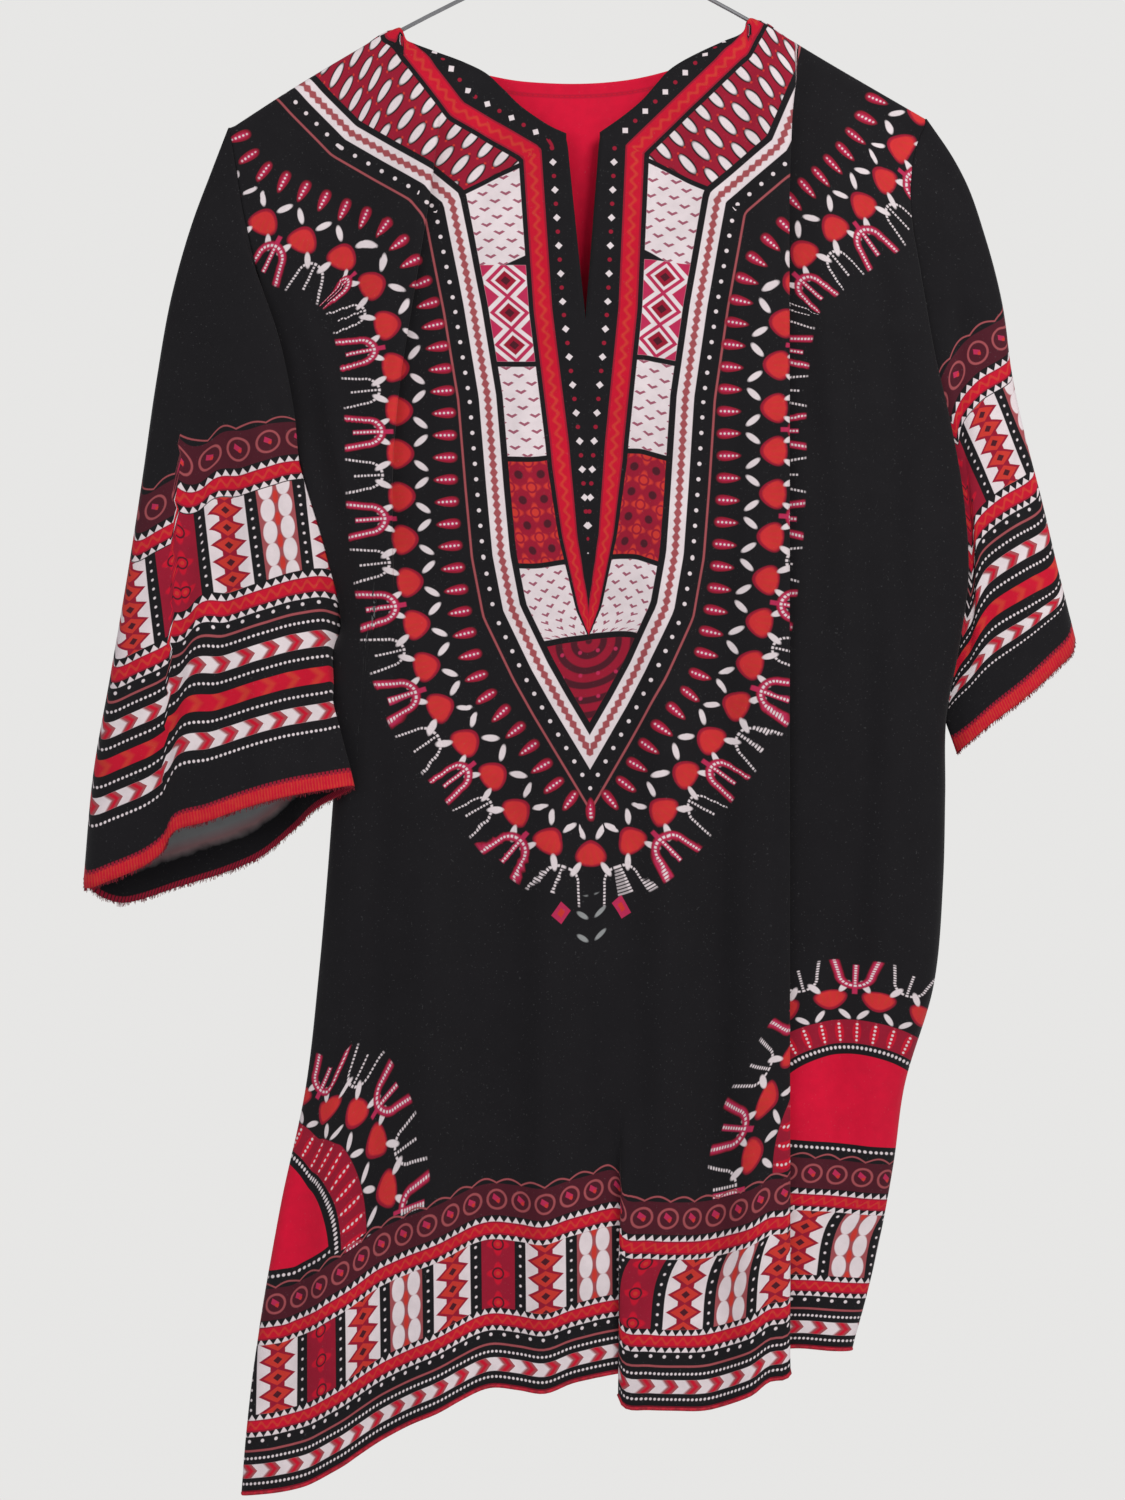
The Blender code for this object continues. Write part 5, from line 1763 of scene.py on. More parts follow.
@dataclass
class Border:
    """The rows of a printed border, drawn along an edge."""

    desk: Desk
    ink: Ink
    along: Value
    height: Value
    rows: list[Row]
    repeat: float = 113.0

    def draw(self) -> None:
        """Print every row."""
        for row in self.rows:
            getattr(self, f"draw_{row.kind.name.lower()}")(row, self.height - row.middle)

    def draw_edge(self, row: Row, rise: Value) -> None:
        """The coloured edge."""
        self.ink.lay(rise.below(row.half), Dye.CRIMSON)

    def draw_dots(self, row: Row, rise: Value) -> None:
        """A line of white dots."""
        self.ink.lay(self.desk.oval(self.along.fold(row.pitch), rise, row.half, row.half, 0.4), Dye.WHITE)

    def draw_line(self, row: Row, rise: Value) -> None:
        """A thin rose line."""
        self.ink.lay(abs(rise).below(row.half, 0.4), Dye.ROSE)

    def draw_chevrons(self, row: Row, rise: Value) -> None:
        """White and rose arrowheads that point one way."""
        band = abs(rise).below(row.half)
        lean = self.along + abs(rise) * 0.9
        self.ink.lay(band, Dye.WHITE)
        self.ink.lay(band * lean.fold(row.pitch).above(0.0, 1.6), Dye.ROSE)
        self.ink.lay(band * abs(lean.fold(row.pitch, -3.4)).below(1.4, 1.6), Dye.RED)

    def draw_red_chevrons(self, row: Row, rise: Value) -> None:
        """Orange arrowheads on red."""
        band = abs(rise).below(row.half)
        lean = self.along + abs(rise) * 0.9
        self.ink.lay(band, Dye.RED)
        self.ink.lay(band * abs(lean.fold(row.pitch)).below(2.2, 2.6), Dye.ORANGE)

    def draw_teeth(self, row: Row, rise: Value) -> None:
        """Small white triangles whose points are up."""
        slope = abs(self.along.fold(row.pitch)) * (row.half * 2 / (row.pitch * 0.46))
        self.ink.lay(rise.above(-row.half, 0.4) * (rise + slope).below(row.half, 0.5), Dye.WHITE)

    def draw_wave(self, row: Row, rise: Value) -> None:
        """A red band with an orange wave and crimson edges."""
        self.ink.lay(abs(rise).below(row.half), Dye.RED)
        wave = rise + self.along.sine(row.pitch) * (row.half * 0.42)
        self.ink.lay(abs(wave).below(row.half * 0.24, 0.8), Dye.ORANGE)
        self.ink.lay(abs(abs(rise) - row.half * 0.9).below(0.45), Dye.CRIMSON)

    def draw_rings(self, row: Row, rise: Value) -> None:
        """A maroon band with rose rings and a bud in each."""
        desk = self.desk
        self.ink.lay(abs(rise).below(row.half), Dye.MAROON)
        x = self.along.fold(row.pitch)
        radius = row.pitch * 0.37
        away = desk.length(x, rise)
        self.ink.lay(abs(away - radius).below(0.65, 0.5), Dye.ROSE)
        self.ink.lay(desk.lozenge(x + rise * 0.5, rise - 0.5, 2.3, 2.9), Dye.PINK)
        self.ink.lay(desk.dot(x - 0.8, rise + 0.9, 1.0, 0.6), Dye.ORANGE)

    def draw_scallops(self, row: Row, rise: Value) -> None:
        """A thin scalloped line."""
        curve = abs(self.along.sine(row.pitch * 2))
        self.ink.lay(abs(rise - curve * 2.6 + 1.3).below(0.5, 0.45), Dye.ROSE)

    def draw_blocks(self, row: Row, rise: Value) -> None:
        """Upright panels in turn: lenses, dots, lozenges, dots, flowers, dots, lozenges, dots."""
        desk = self.desk
        band = abs(rise).below(row.half)
        spot = self.along.fold(self.repeat)
        beside = abs(spot)
        far = abs(beside - 28.6)
        ground = band * beside.below(10.2)
        self.ink.lay(ground, Dye.ROSE)
        lens = desk.oval(beside - 5.0, rise.fold(row.pitch), 3.9, row.pitch * 0.52, 0.5)
        self.ink.lay(ground * lens, Dye.WHITE)
        seed = desk.oval(spot, rise.fold(row.pitch, row.pitch / 2), 1.5, 4.0, 0.5)
        self.ink.lay(ground * seed, Dye.ORANGE)
        dots = [desk.dot(abs(beside - middle), rise.fold(5.6), 0.75, 0.5) for middle in (13.6, 43.7)]
        self.ink.lay(band * dots[0].either(dots[1]), Dye.WHITE)
        ground = band * far.below(11.8)
        self.ink.lay(ground, Dye.WHITE)
        step = abs(rise.fold(row.pitch * 0.74))
        side = (far + step * 1.75).below(10.6, 0.5)
        self.ink.lay(ground * side.either(far.below(4.2)), Dye.CRIMSON)
        self.ink.lay(ground * (far + step * 1.75).below(8.0, 0.5), Dye.ORANGE)
        self.ink.lay(ground * (far + step * 1.2).below(2.6, 0.5), Dye.MAROON)
        ground = band * beside.above(47.0)
        self.ink.lay(ground, Dye.CRIMSON)
        x = 56.5 - beside
        y = rise.fold(row.pitch * 1.25)
        flower = desk.oval(x, y, 6.4, 2.6, 0.6).either(desk.oval(x, y, 2.6, 6.4, 0.6))
        self.ink.lay(ground * flower, Dye.RED)
        self.ink.lay(ground * abs(desk.length(x, y) - 3.0).below(0.5, 0.5), Dye.MAROON)
        self.ink.lay(ground * desk.dot(x, y, 1.2, 0.6), Dye.ORANGE)


@dataclass
class PrintedCotton:
    """Plain-weave cotton with its print: weave, fading and lint."""

    desk: Desk
    thread: float = 0.62
    rough: float = 0.82

    def finish(self, colour: object, across: Value, down: Value) -> Material:
        """Dress the shader.

        Args:
            colour: The print's colour.
            across: Distance along the weft, in millimetres.
            down: Distance along the warp, in millimetres.

        Returns:
            The material.
        """
        desk = self.desk
        weave = across.sine(self.thread) * down.sine(self.thread)
        fade = desk.speckle(22.0, 3.0) * 0.30 + desk.speckle(160.0, 2.0) * 0.22 + 0.76
        shade = fade + weave * 0.05
        worn = desk.node("ShaderNodeVectorMath", {"operation": "SCALE"}, {0: colour, "Scale": shade})
        lint = desk.speckle(900.0, 2.0).above(0.70, 0.05) * 0.25
        dusty = desk.blend(worn.outputs[0], Dye.GREY.value, lint * 0.4 + 0.004)
        rough = weave * 0.05 + desk.speckle(60.0, 2.0) * 0.12 + (self.rough - 0.06)
        for name, value in (("Specular IOR Level", 0.20), ("Sheen Weight", 0.06), ("Sheen Roughness", 0.5)):
            desk.feed(desk.shader.inputs[name], value)
        return desk.surface(dusty, rough, weave * 0.5 + desk.speckle(420.0, 3.0) * 0.9, 0.35, 0.00022)


@dataclass
class Prints:
    """The shirt's printed materials."""

    lens_end: float = 79.0
    lens_pitch: float = 10.5
    pale_levels: tuple = ((82.0, 133.0), (193.5, 244.0), (307.0, 348.0))
    lattice_levels: tuple = (136.0, 190.5)
    flower_levels: tuple = (247.0, 304.0)
    tip_level: float = 351.5
    dart_pitch: float = 12.6
    bud_pitch: float = 24.4
    tulip_rise: float = 45.0
    sprig_levels: tuple = (496.0, 530.0)
    sprig_buds: tuple = (17.0, 503.0)
    border_height: float = 115.0
    fan_centre: float = -14.0
    fan_middle: float = 194.0
    fan_foot: float = 652.0
    fan_narrow: tuple = (1.43, 0.38)
    fan_size: tuple = (85.0, 23.0)

    def neck(self) -> Material:
        """The yoke round the neck, its blocks and the rings that radiate from it."""
        desk = Desk("neck_print")
        across, down, red_out = desk.places("cloth")
        white_out, white_along, red_along = desk.places("yoke")
        ring_out, ring_along, bud_along = desk.places("rings")
        shown, _, _ = desk.places("shown")
        ink = Ink(desk, Dye.BLACK)
        right = abs(shown)
        self.draw_inner(ink, red_out, red_along)
        self.draw_blocks(ink, right, down, red_out, white_out)
        self.draw_white_band(ink, white_out, white_along)
        self.draw_rings(ink, ring_out, (ring_along, bud_along))
        self.draw_sprig(ink, right, down)
        return PrintedCotton(desk).finish(ink.colour, across, down)

    def draw_inner(self, ink: Ink, out: Value, along: Value) -> None:
        """The dots beside the opening and the red band round it."""
        desk = ink.desk
        ink.lay(desk.lozenge(along.fold(16.0), out + 6.2, 2.1, 2.1), Dye.WHITE)
        ink.lay(desk.dot(along.fold(16.0, 8.0), out + 6.2, 1.2), Dye.CRIMSON)
        band = out.between(0.0, RED_WIDTH)
        ink.lay(band, Dye.RED)
        aside = out - RED_WIDTH / 2
        ink.lay(band * abs(aside + along.sine(7.4) * 1.3).below(1.0, 1.2), Dye.ORANGE)
        ink.lay(band * abs(aside).above(4.3, 0.6), Dye.CRIMSON)

    def draw_blocks(self, ink: Ink, right: Value, down: Value, red: Value, white: Value) -> None:
        """The blocks between the red band and the white one.

        Args:
            ink: The print so far.
            right: Distance from the centre line.
            down: Distance below the shoulder line.
            red: Distance outside the red band's guide.
            white: Distance outside the white band's guide.
        """
        desk = ink.desk
        column = red.above(13.2) * white.below(-8.6)
        x = (red + white - 4.0) * 0.5
        lean = down - (right - 39.0) * 0.455
        self.draw_lenses(ink, column * lean.below(self.lens_end), right * 0.74 - down * 0.67, red)
        first, *others = self.pale_levels
        pale = lean.between(*first)
        for levels in others:
            pale = pale.either(down.between(*levels))
        self.draw_pale(ink, column * pale, x, down)
        self.draw_lattice(ink, column * down.between(*self.lattice_levels), x, down - 163.0)
        self.draw_flowers(ink, column * down.between(*self.flower_levels), x, down - 275.5)
        self.draw_tip(ink, column * down.above(self.tip_level), right, down)

    def draw_lenses(self, ink: Ink, zone: Value, slant: Value, red: Value) -> None:
        """White lenses in black on crimson, with dots between them.

        Args:
            ink: The print so far.
            zone: Where they are printed.
            slant: Distance across their slanted rows.
            red: Distance outside the red band's guide.
        """
        desk = ink.desk
        ink.lay(zone, Dye.CRIMSON)
        for shift, middle in ((0.0, 32.0), (0.5, 48.0)):
            aside = (red - middle).fold(32.0)
            step = slant.fold(self.lens_pitch, self.lens_pitch * shift)
            ink.lay(zone * desk.oval(step, aside, 3.2, 7.6, 0.6), Dye.BLACK)
            ink.lay(zone * desk.oval(step, aside, 2.2, 6.5, 0.6), Dye.WHITE)
        dots = desk.dot(slant.fold(self.lens_pitch / 2), (red - 40.0).fold(16.0), 0.7, 0.4)
        ink.lay(zone * dots, Dye.ORANGE)

    def draw_pale(self, ink: Ink, zone: Value, x: Value, down: Value) -> None:
        """Mauve crescents in two staggered sets on white.

        Args:
            ink: The print so far.
            zone: Where they are printed.
            x: Distance from the column's middle.
            down: Distance below the shoulder line.
        """
        desk = ink.desk
        ink.lay(zone, Dye.WHITE)
        for shift in (0.0, 1.0):
            aside, step = x.fold(13.0, 6.5 * shift), down.fold(9.0, 4.5 * shift)
            ink.lay(zone * desk.lozenge(aside, step, 3.3, 1.9), Dye.MAUVE)
            ink.lay(zone * desk.lozenge(aside, step + 0.9, 2.3, 1.2), Dye.WHITE)

    def draw_lattice(self, ink: Ink, zone: Value, x: Value, level: Value) -> None:
        """Crimson lozenges in pink lattice on white.

        Args:
            ink: The print so far.
            zone: Where they are printed.
            x: Distance from the column's middle.
            level: Distance below the lattice's middle.
        """
        ink.lay(zone, Dye.WHITE)
        far = abs(level.fold(18.2)) + abs(x) * 0.92
        ink.lay(zone * abs(far - 9.0).below(1.3, 0.5), Dye.PINK)
        ink.lay(zone * far.below(5.6, 0.5), Dye.CRIMSON)
        ink.lay(zone * far.below(2.6, 0.5), Dye.MAROON)
        ink.lay(zone * far.above(13.6, 0.5), Dye.PINK)

    def draw_flowers(self, ink: Ink, zone: Value, x: Value, level: Value) -> None:
        """Orange flowers on crimson, with maroon dots between them.

        Args:
            ink: The print so far.
            zone: Where they are printed.
            x: Distance from the column's middle.
            level: Distance below the flowers' middle.
        """
        desk = ink.desk
        ink.lay(zone, Dye.CRIMSON)
        wide, tall = 12.6, 14.2
        petal, step = x.fold(wide), level.fold(tall)
        bloom = desk.oval(petal, step, 5.4, 2.3, 0.7).either(desk.oval(petal, step, 2.3, 5.4, 0.7))
        ink.lay(zone * bloom, Dye.ORANGE)
        ink.lay(zone * abs(desk.length(petal, step) - 2.7).below(0.55, 0.5), Dye.CRIMSON)
        ink.lay(zone * desk.dot(x.fold(wide, wide / 2), level.fold(tall, tall / 2), 2.4, 0.8), Dye.MAROON)

    def draw_tip(self, ink: Ink, zone: Value, right: Value, down: Value) -> None:
        """Maroon arcs and pink dots on crimson.

        Args:
            ink: The print so far.
            zone: Where they are printed.
            right: Distance from the centre line.
            down: Distance below the shoulder line.
        """
        desk = ink.desk
        ink.lay(zone, Dye.CRIMSON)
        arcs = desk.length(right, down - 352.0).fold(8.4)
        ink.lay(zone * abs(arcs).below(1.9, 0.8), Dye.MAROON)
        ink.lay(zone * desk.dot(right.fold(10.0, 5.0), (down - 358.0).fold(13.0), 1.1, 0.6), Dye.PINK)

    def draw_white_band(self, ink: Ink, out: Value, along: Value) -> None:
        """The white band with its rose wave, the dots outside it and the thin line beyond."""
        desk = ink.desk
        band = abs(out).below(4.9)
        ink.lay(band, Dye.WHITE)
        wave = abs(out) + abs(along.fold(4.6)) * 0.62
        ink.lay(band * wave.below(2.3, 0.7), Dye.ROSE)
        ink.lay(desk.dot(along.fold(8.8), out - 10.2, 1.15), Dye.WHITE)
        ink.lay(abs(out - 16.6).below(0.62, 0.5), Dye.ROSE)

    def draw_rings(self, ink: Ink, rise: Value, alongs: tuple) -> None:
        """Darts, leaves, buds and three-rayed sprigs that radiate from a guide.

        Args:
            ink: The print so far.
            rise: Distance outside the guide, where the darts' middle lies.
            alongs: Lengths along it for the darts, and for the buds and the sprigs.
        """
        desk = ink.desk
        along, bud_along = alongs
        x = along.fold(self.dart_pitch)
        taper = x * (rise * 0.055 + 1.0)
        ink.lay(desk.oval(taper, rise, 2.7, 6.6, 0.6), Dye.CRIMSON)
        core = desk.oval(taper, rise, 1.5, 5.2, 0.7)
        ink.lay(core, Dye.PINK)
        ink.lay(core * desk.dot(x, rise.fold(2.3), 0.62, 0.5), Dye.WHITE)
        outer = rise - BUD_REACH
        pitch = self.bud_pitch
        bud_x = bud_along.fold(pitch)
        ink.lay(desk.oval(bud_x * (1.0 - outer * 0.042), outer, 8.0, 7.6, 0.8), Dye.CRIMSON)
        taper = bud_x * (1.0 - outer * 0.05)
        heart = desk.oval(taper, outer - 0.4, 6.6, 6.2, 1.2)
        ink.lay(heart, Dye.CORAL)
        vein = abs(taper.fold(3.2)).below(0.45, 0.9)
        ink.lay(heart * vein * outer.above(-1.5, 2.0), Dye.ORANGE)
        gap = abs(bud_along.fold(pitch, pitch / 2)) - 5.0
        for middle, tilt in ((13.5, 0.62), (35.0, -0.45)):
            lift = rise - middle
            level = math.sqrt(1 - tilt**2)
            leaf = desk.oval(gap * level - lift * tilt, gap * tilt + lift * level, 1.7, 4.6, 0.5)
            ink.lay(leaf, Dye.WHITE)
        for shift, filled in ((pitch / 2, True), (pitch * 3 / 2, False)):
            self.draw_tulip(ink, bud_along.fold(pitch * 2, shift), rise - self.tulip_rise, filled)

    def draw_tulip(self, ink: Ink, aside: Value, rise: Value, filled: bool) -> None:
        """An open cup with a stem, in rose with white dots or in white dots alone.

        Args:
            ink: The print so far.
            aside: Distance from its middle line.
            rise: Distance above its middle.
            filled: Whether it has a rose ground.
        """
        desk = ink.desk
        low = desk.maths("MINIMUM", rise + 1.0, 0.0)
        high = desk.maths("MAXIMUM", rise + 1.0, 0.0)
        cup = abs(desk.length(aside, low * 0.82) - 7.2 - high * 0.16)
        reach = rise.below(10.5, 1.5)
        stem = abs(aside)
        stem_reach = rise.between(-16.0, 6.5, 0.8)
        if filled:
            ink.lay(reach * cup.below(2.1, 0.7), Dye.CRIMSON)
            ink.lay(reach * cup.below(1.5, 0.7), Dye.PINK)
            ink.lay(stem_reach * stem.below(1.3, 0.6), Dye.PINK)
        turn = desk.maths("ARCTAN2", low, aside) * 7.2 + high
        line = reach * cup.below(0.6, 0.5) * abs(turn.fold(1.9)).below(0.6, 0.4)
        stem_line = stem_reach * rise.above(-9.0) * stem.below(0.55, 0.5)
        ink.lay(line.either(stem_line * abs(rise.fold(1.9)).below(0.6, 0.4)), Dye.WHITE)

    def draw_sprig(self, ink: Ink, right: Value, down: Value) -> None:
        """The sprig under the yoke's tip: pairs of leaves and two buds."""
        desk = ink.desk
        zone = down.between(*self.sprig_levels, 1.0) * right.below(16.0, 1.0)
        aside, step = right - 5.0, down.fold(13.0)
        leaf = desk.oval(aside * 0.64 + step * 0.77, aside * 0.77 - step * 0.64, 1.3, 3.8, 0.5)
        ink.lay(zone * leaf, Dye.GREY)
        bud_x, bud_down = self.sprig_buds
        for half_x, half_y, dye in ((5.4, 6.4, Dye.PINK), (2.2, 2.8, Dye.ORANGE)):
            ink.lay(desk.lozenge(right - bud_x, down - bud_down, half_x, half_y), dye)

    def hem(self) -> Material:
        """The border above the hem and the two fans that stand on it."""
        desk = Desk("hem_print")
        across, down, _ = desk.places("cloth")
        shown, _, _ = desk.places("shown")
        ink = Ink(desk, Dye.BLACK)
        beside = abs(shown - self.fan_centre) - self.fan_middle
        self.draw_fan(ink, beside, self.fan_foot - down, shown.above(0.0, 1.0))
        height = PRINT_LENGTH - down
        ink.lay(height.below(self.border_height), Dye.BLACK)
        Border(desk, ink, across, height, HEM_ROWS).draw()
        return PrintedCotton(desk).finish(ink.colour, across, down)

    def draw_fan(self, ink: Ink, beside: Value, rise: Value, right: Value) -> None:
        """An arched fan: plain red, dots, a red ring of darts, buds and sprigs.

        Args:
            ink: The print so far.
            beside: Distance from the fan's middle line.
            rise: Height above the border.
            right: 1 on the right, where the fan is lower.
        """
        desk = ink.desk
        narrow = self.fan_narrow[0] - right * self.fan_narrow[1]
        size = self.fan_size[0] - right * self.fan_size[1]
        wide = beside * narrow
        core = desk.length(wide, rise)
        inner = core - size
        out = inner * core / desk.maths("MAXIMUM", desk.length(wide * narrow, rise), 1.0)
        along = desk.maths("ARCTAN2", rise, wide) * (size + 20.0)
        standing = rise.above(0.0)
        self.draw_rings(ink, (out - 13.4) * 1.28, (along, along))
        ink.lay(standing * out.between(5.6, 20.5), Dye.CRIMSON)
        x, lift = along.fold(11.0), out - 13.2
        dart = standing * desk.oval(x, lift, 2.8, 6.2, 0.7)
        ink.lay(dart, Dye.RED)
        ink.lay(dart * desk.oval(x, lift.fold(2.4), 0.8, 0.7, 0.5), Dye.WHITE)
        ink.lay(standing * out.below(6.5), Dye.BLACK)
        ink.lay(standing * desk.dot(along.fold(3.2), out - 4.0, 1.0, 0.5), Dye.WHITE)
        ink.lay(standing * inner.below(0.0) * rise.above(7.0), Dye.BRIGHT_RED)
        ink.lay(standing * desk.dot(beside.fold(3.0), rise - 3.4, 0.9, 0.5) * inner.below(1.0), Dye.WHITE)

    def sleeve(self, phase: float, name: str) -> Material:
        """The sleeve's border, which stands on its cuff.

        Args:
            phase: How far the border's repeat is shifted round the cuff.
            name: The material's name.

        Returns:
            The material.
        """
        desk = Desk(name)
        around, height, _ = desk.places("cloth")
        ink = Ink(desk, Dye.BLACK)
        Border(desk, ink, around + phase, height, SLEEVE_ROWS, 118.0).draw()
        fringe = desk.speckle(700.0, 2.0) * 2.4
        edge = (height + fringe * 0.6).below(9.4, 0.5)
        ink.lay(edge, Dye.ORANGE)
        ink.lay(edge * (around.fold(1.7) + desk.speckle(300.0, 2.0) * 2.0).above(0.9, 0.5), Dye.RED)
        ink.lay(height.between(7.6, 10.2, 0.6) * abs(around.fold(2.3)).below(0.8, 0.5), Dye.CRIMSON)
        return PrintedCotton(desk).finish(ink.colour, around, height)

    def wrong_side(self) -> Material:
        """The cloth's wrong side, a charcoal ground with the print's ghost."""
        desk = Desk("wrong_side")
        across, down, _ = desk.places("cloth")
        ghost = abs((down + desk.speckle(14.0, 2.0) * 30.0).fold(46.0)).below(9.0, 8.0) * 0.35
        colour = desk.blend((0.030, 0.029, 0.032), Dye.GREY.value, ghost)
        return PrintedCotton(desk).finish(colour, across, down)

    def sleeve_wrong_side(self) -> Material:
        """The sleeve's wrong side: grey, with a black stretch and red threads at the edge."""
        desk = Desk("sleeve_wrong_side")
        around, height, _ = desk.places("cloth")
        ink = Ink(desk, Dye.GREY)
        ink.lay(abs(height.fold(21.0)).below(3.0, 5.0) * 0.5, Dye.ROSE)
        ink.lay((height + desk.speckle(120.0, 2.0) * 5.0).below(21.0, 5.0), Dye.BLACK)
        ink.lay(height.below(3.6, 0.6) * abs(around.fold(1.9)).below(0.7, 0.4), Dye.CRIMSON)
        return PrintedCotton(desk).finish(ink.colour, around, height)

    def facing(self) -> Material:
        """Plain red cotton with the line of stitches that holds it under the neckline."""
        desk = Desk("red_facing")
        across, down, _ = desk.places("cloth")
        ink = Ink(desk, Dye.BRIGHT_RED)
        seam = abs(down - 7.5)
        ink.lay(seam.below(1.1, 1.2) * 0.55, Dye.CRIMSON)
        ink.lay(seam.below(0.35, 0.3) * abs(across.fold(3.0)).below(1.0, 0.3), Dye.RED)
        return PrintedCotton(desk).finish(ink.colour, across, down)


@dataclass
class Threads:
    """Fine threads and narrow rolls of cloth, gathered into one mesh."""

    name: str
    vertices: list = field(default_factory=list)
    faces: list = field(default_factory=list)

    def tube(self, line: Array, radius: float, sides: int = 6, flat: float = 1.0) -> None:
        """Add a tube along a line.

        Args:
            line: Points in millimetres with down.
            radius: Half its width.
            sides: How many corners its section has.
            flat: How deep its section is beside its width.
        """
        ahead = unit(np.gradient(line, axis=0))
        across = unit(np.cross(ahead, np.array([0.0, 1.0, 0.0])))
        deep = np.cross(ahead, across)
        first = len(self.vertices)
        for point, side, back in zip(line, across, deep):
            for k in range(sides):
                angle = 2 * math.pi * k / sides
                spot = point + radius * (math.cos(angle) * side + flat * math.sin(angle) * back)
                self.vertices.append(tuple(spot))
        for i in range(len(line) - 1):
            for k in range(sides):
                after = (k + 1) % sides
                low = first + i * sides
                self.faces.append([low + k, low + after, low + sides + after, low + sides + k])
        self.faces.append([first + k for k in range(sides)][::-1])
        self.faces.append([first + (len(line) - 1) * sides + k for k in range(sides)])

    def build(self, material: Material) -> Object:
        """Make the object in its material."""
        return new_piece(self.name, np.array(self.vertices), self.faces, [material])


@dataclass
class Trims:
    """What is sewn or frayed on the shirt: rolled hems and loose threads."""

    seed: int = 11
    hem_roll: float = 1.05

    def __post_init__(self) -> None:
        """Start the even random numbers of the loose threads."""
        self.chance = np.random.default_rng(self.seed)

    def thread_material(self, name: str, dye: Dye, rough: float = 0.7) -> Material:
        """Twisted thread of one dye.

        Args:
            name: The material's name.
            dye: Its colour.
            rough: Its roughness.

        Returns:
            The material.
        """
        desk = Desk(name)
        spot = desk.speckle(420.0, 2.0)
        colour = desk.blend(dye.value, tuple(0.45 * part for part in dye.value), spot.above(0.52, 0.3))
        return desk.surface(colour, rough, spot, 0.5, 0.0002)

    def hem(self, name: str, edge: Array, material: Material) -> Object:
        """The narrow rolled hem along a panel's lower edge.

        Args:
            name: The object's name.
            edge: The panel's last row.
            material: Its thread or cloth.

        Returns:
            The new object.
        """
        kept = [edge[0]]
        for point in edge[1:]:
            if np.linalg.norm(point - kept[-1]) > 0.8:
                kept.append(point)
        roll = Threads(name)
        roll.tube(np.array(kept), self.hem_roll, 8, 0.8)
        return roll.build(material)

    def fringe(
        self, name: str, edge: Array, inner: Array, material: Material, count: int, reach: float
    ) -> Object:
        """Loose threads along a cut edge.

        Args:
            name: The object's name.
            edge: The cuff's edge.
            inner: The row of points just inside it.
            material: The thread.
            count: How many threads.
            reach: Their mean length.

        Returns:
            The new object.
        """
        closed = np.concatenate([edge, edge[:1]])
        behind = np.concatenate([inner, inner[:1]])
        run = run_along(closed)
        threads = Threads(name)
        for _ in range(count):
            at = self.chance.uniform(0, run[-1])
            root = np.array([np.interp(at, run, closed[:, i]) for i in range(3)])
            back = np.array([np.interp(at, run, behind[:, i]) for i in range(3)])
            out = (root - back) / max(float(np.linalg.norm(root - back)), 1e-6)
            lean = self.chance.normal(0, 0.22, 3)
            size = reach * self.chance.uniform(0.35, 1.3)
            steps = np.linspace(0, 1, 5)[:, None]
            bend = np.array([0, 0, 1.0]) * size * 0.35
            line = root - out * 0.6 + (out + lean) * size * steps + bend * steps**2
            threads.tube(line, 0.13, 4)
        return threads.build(material)


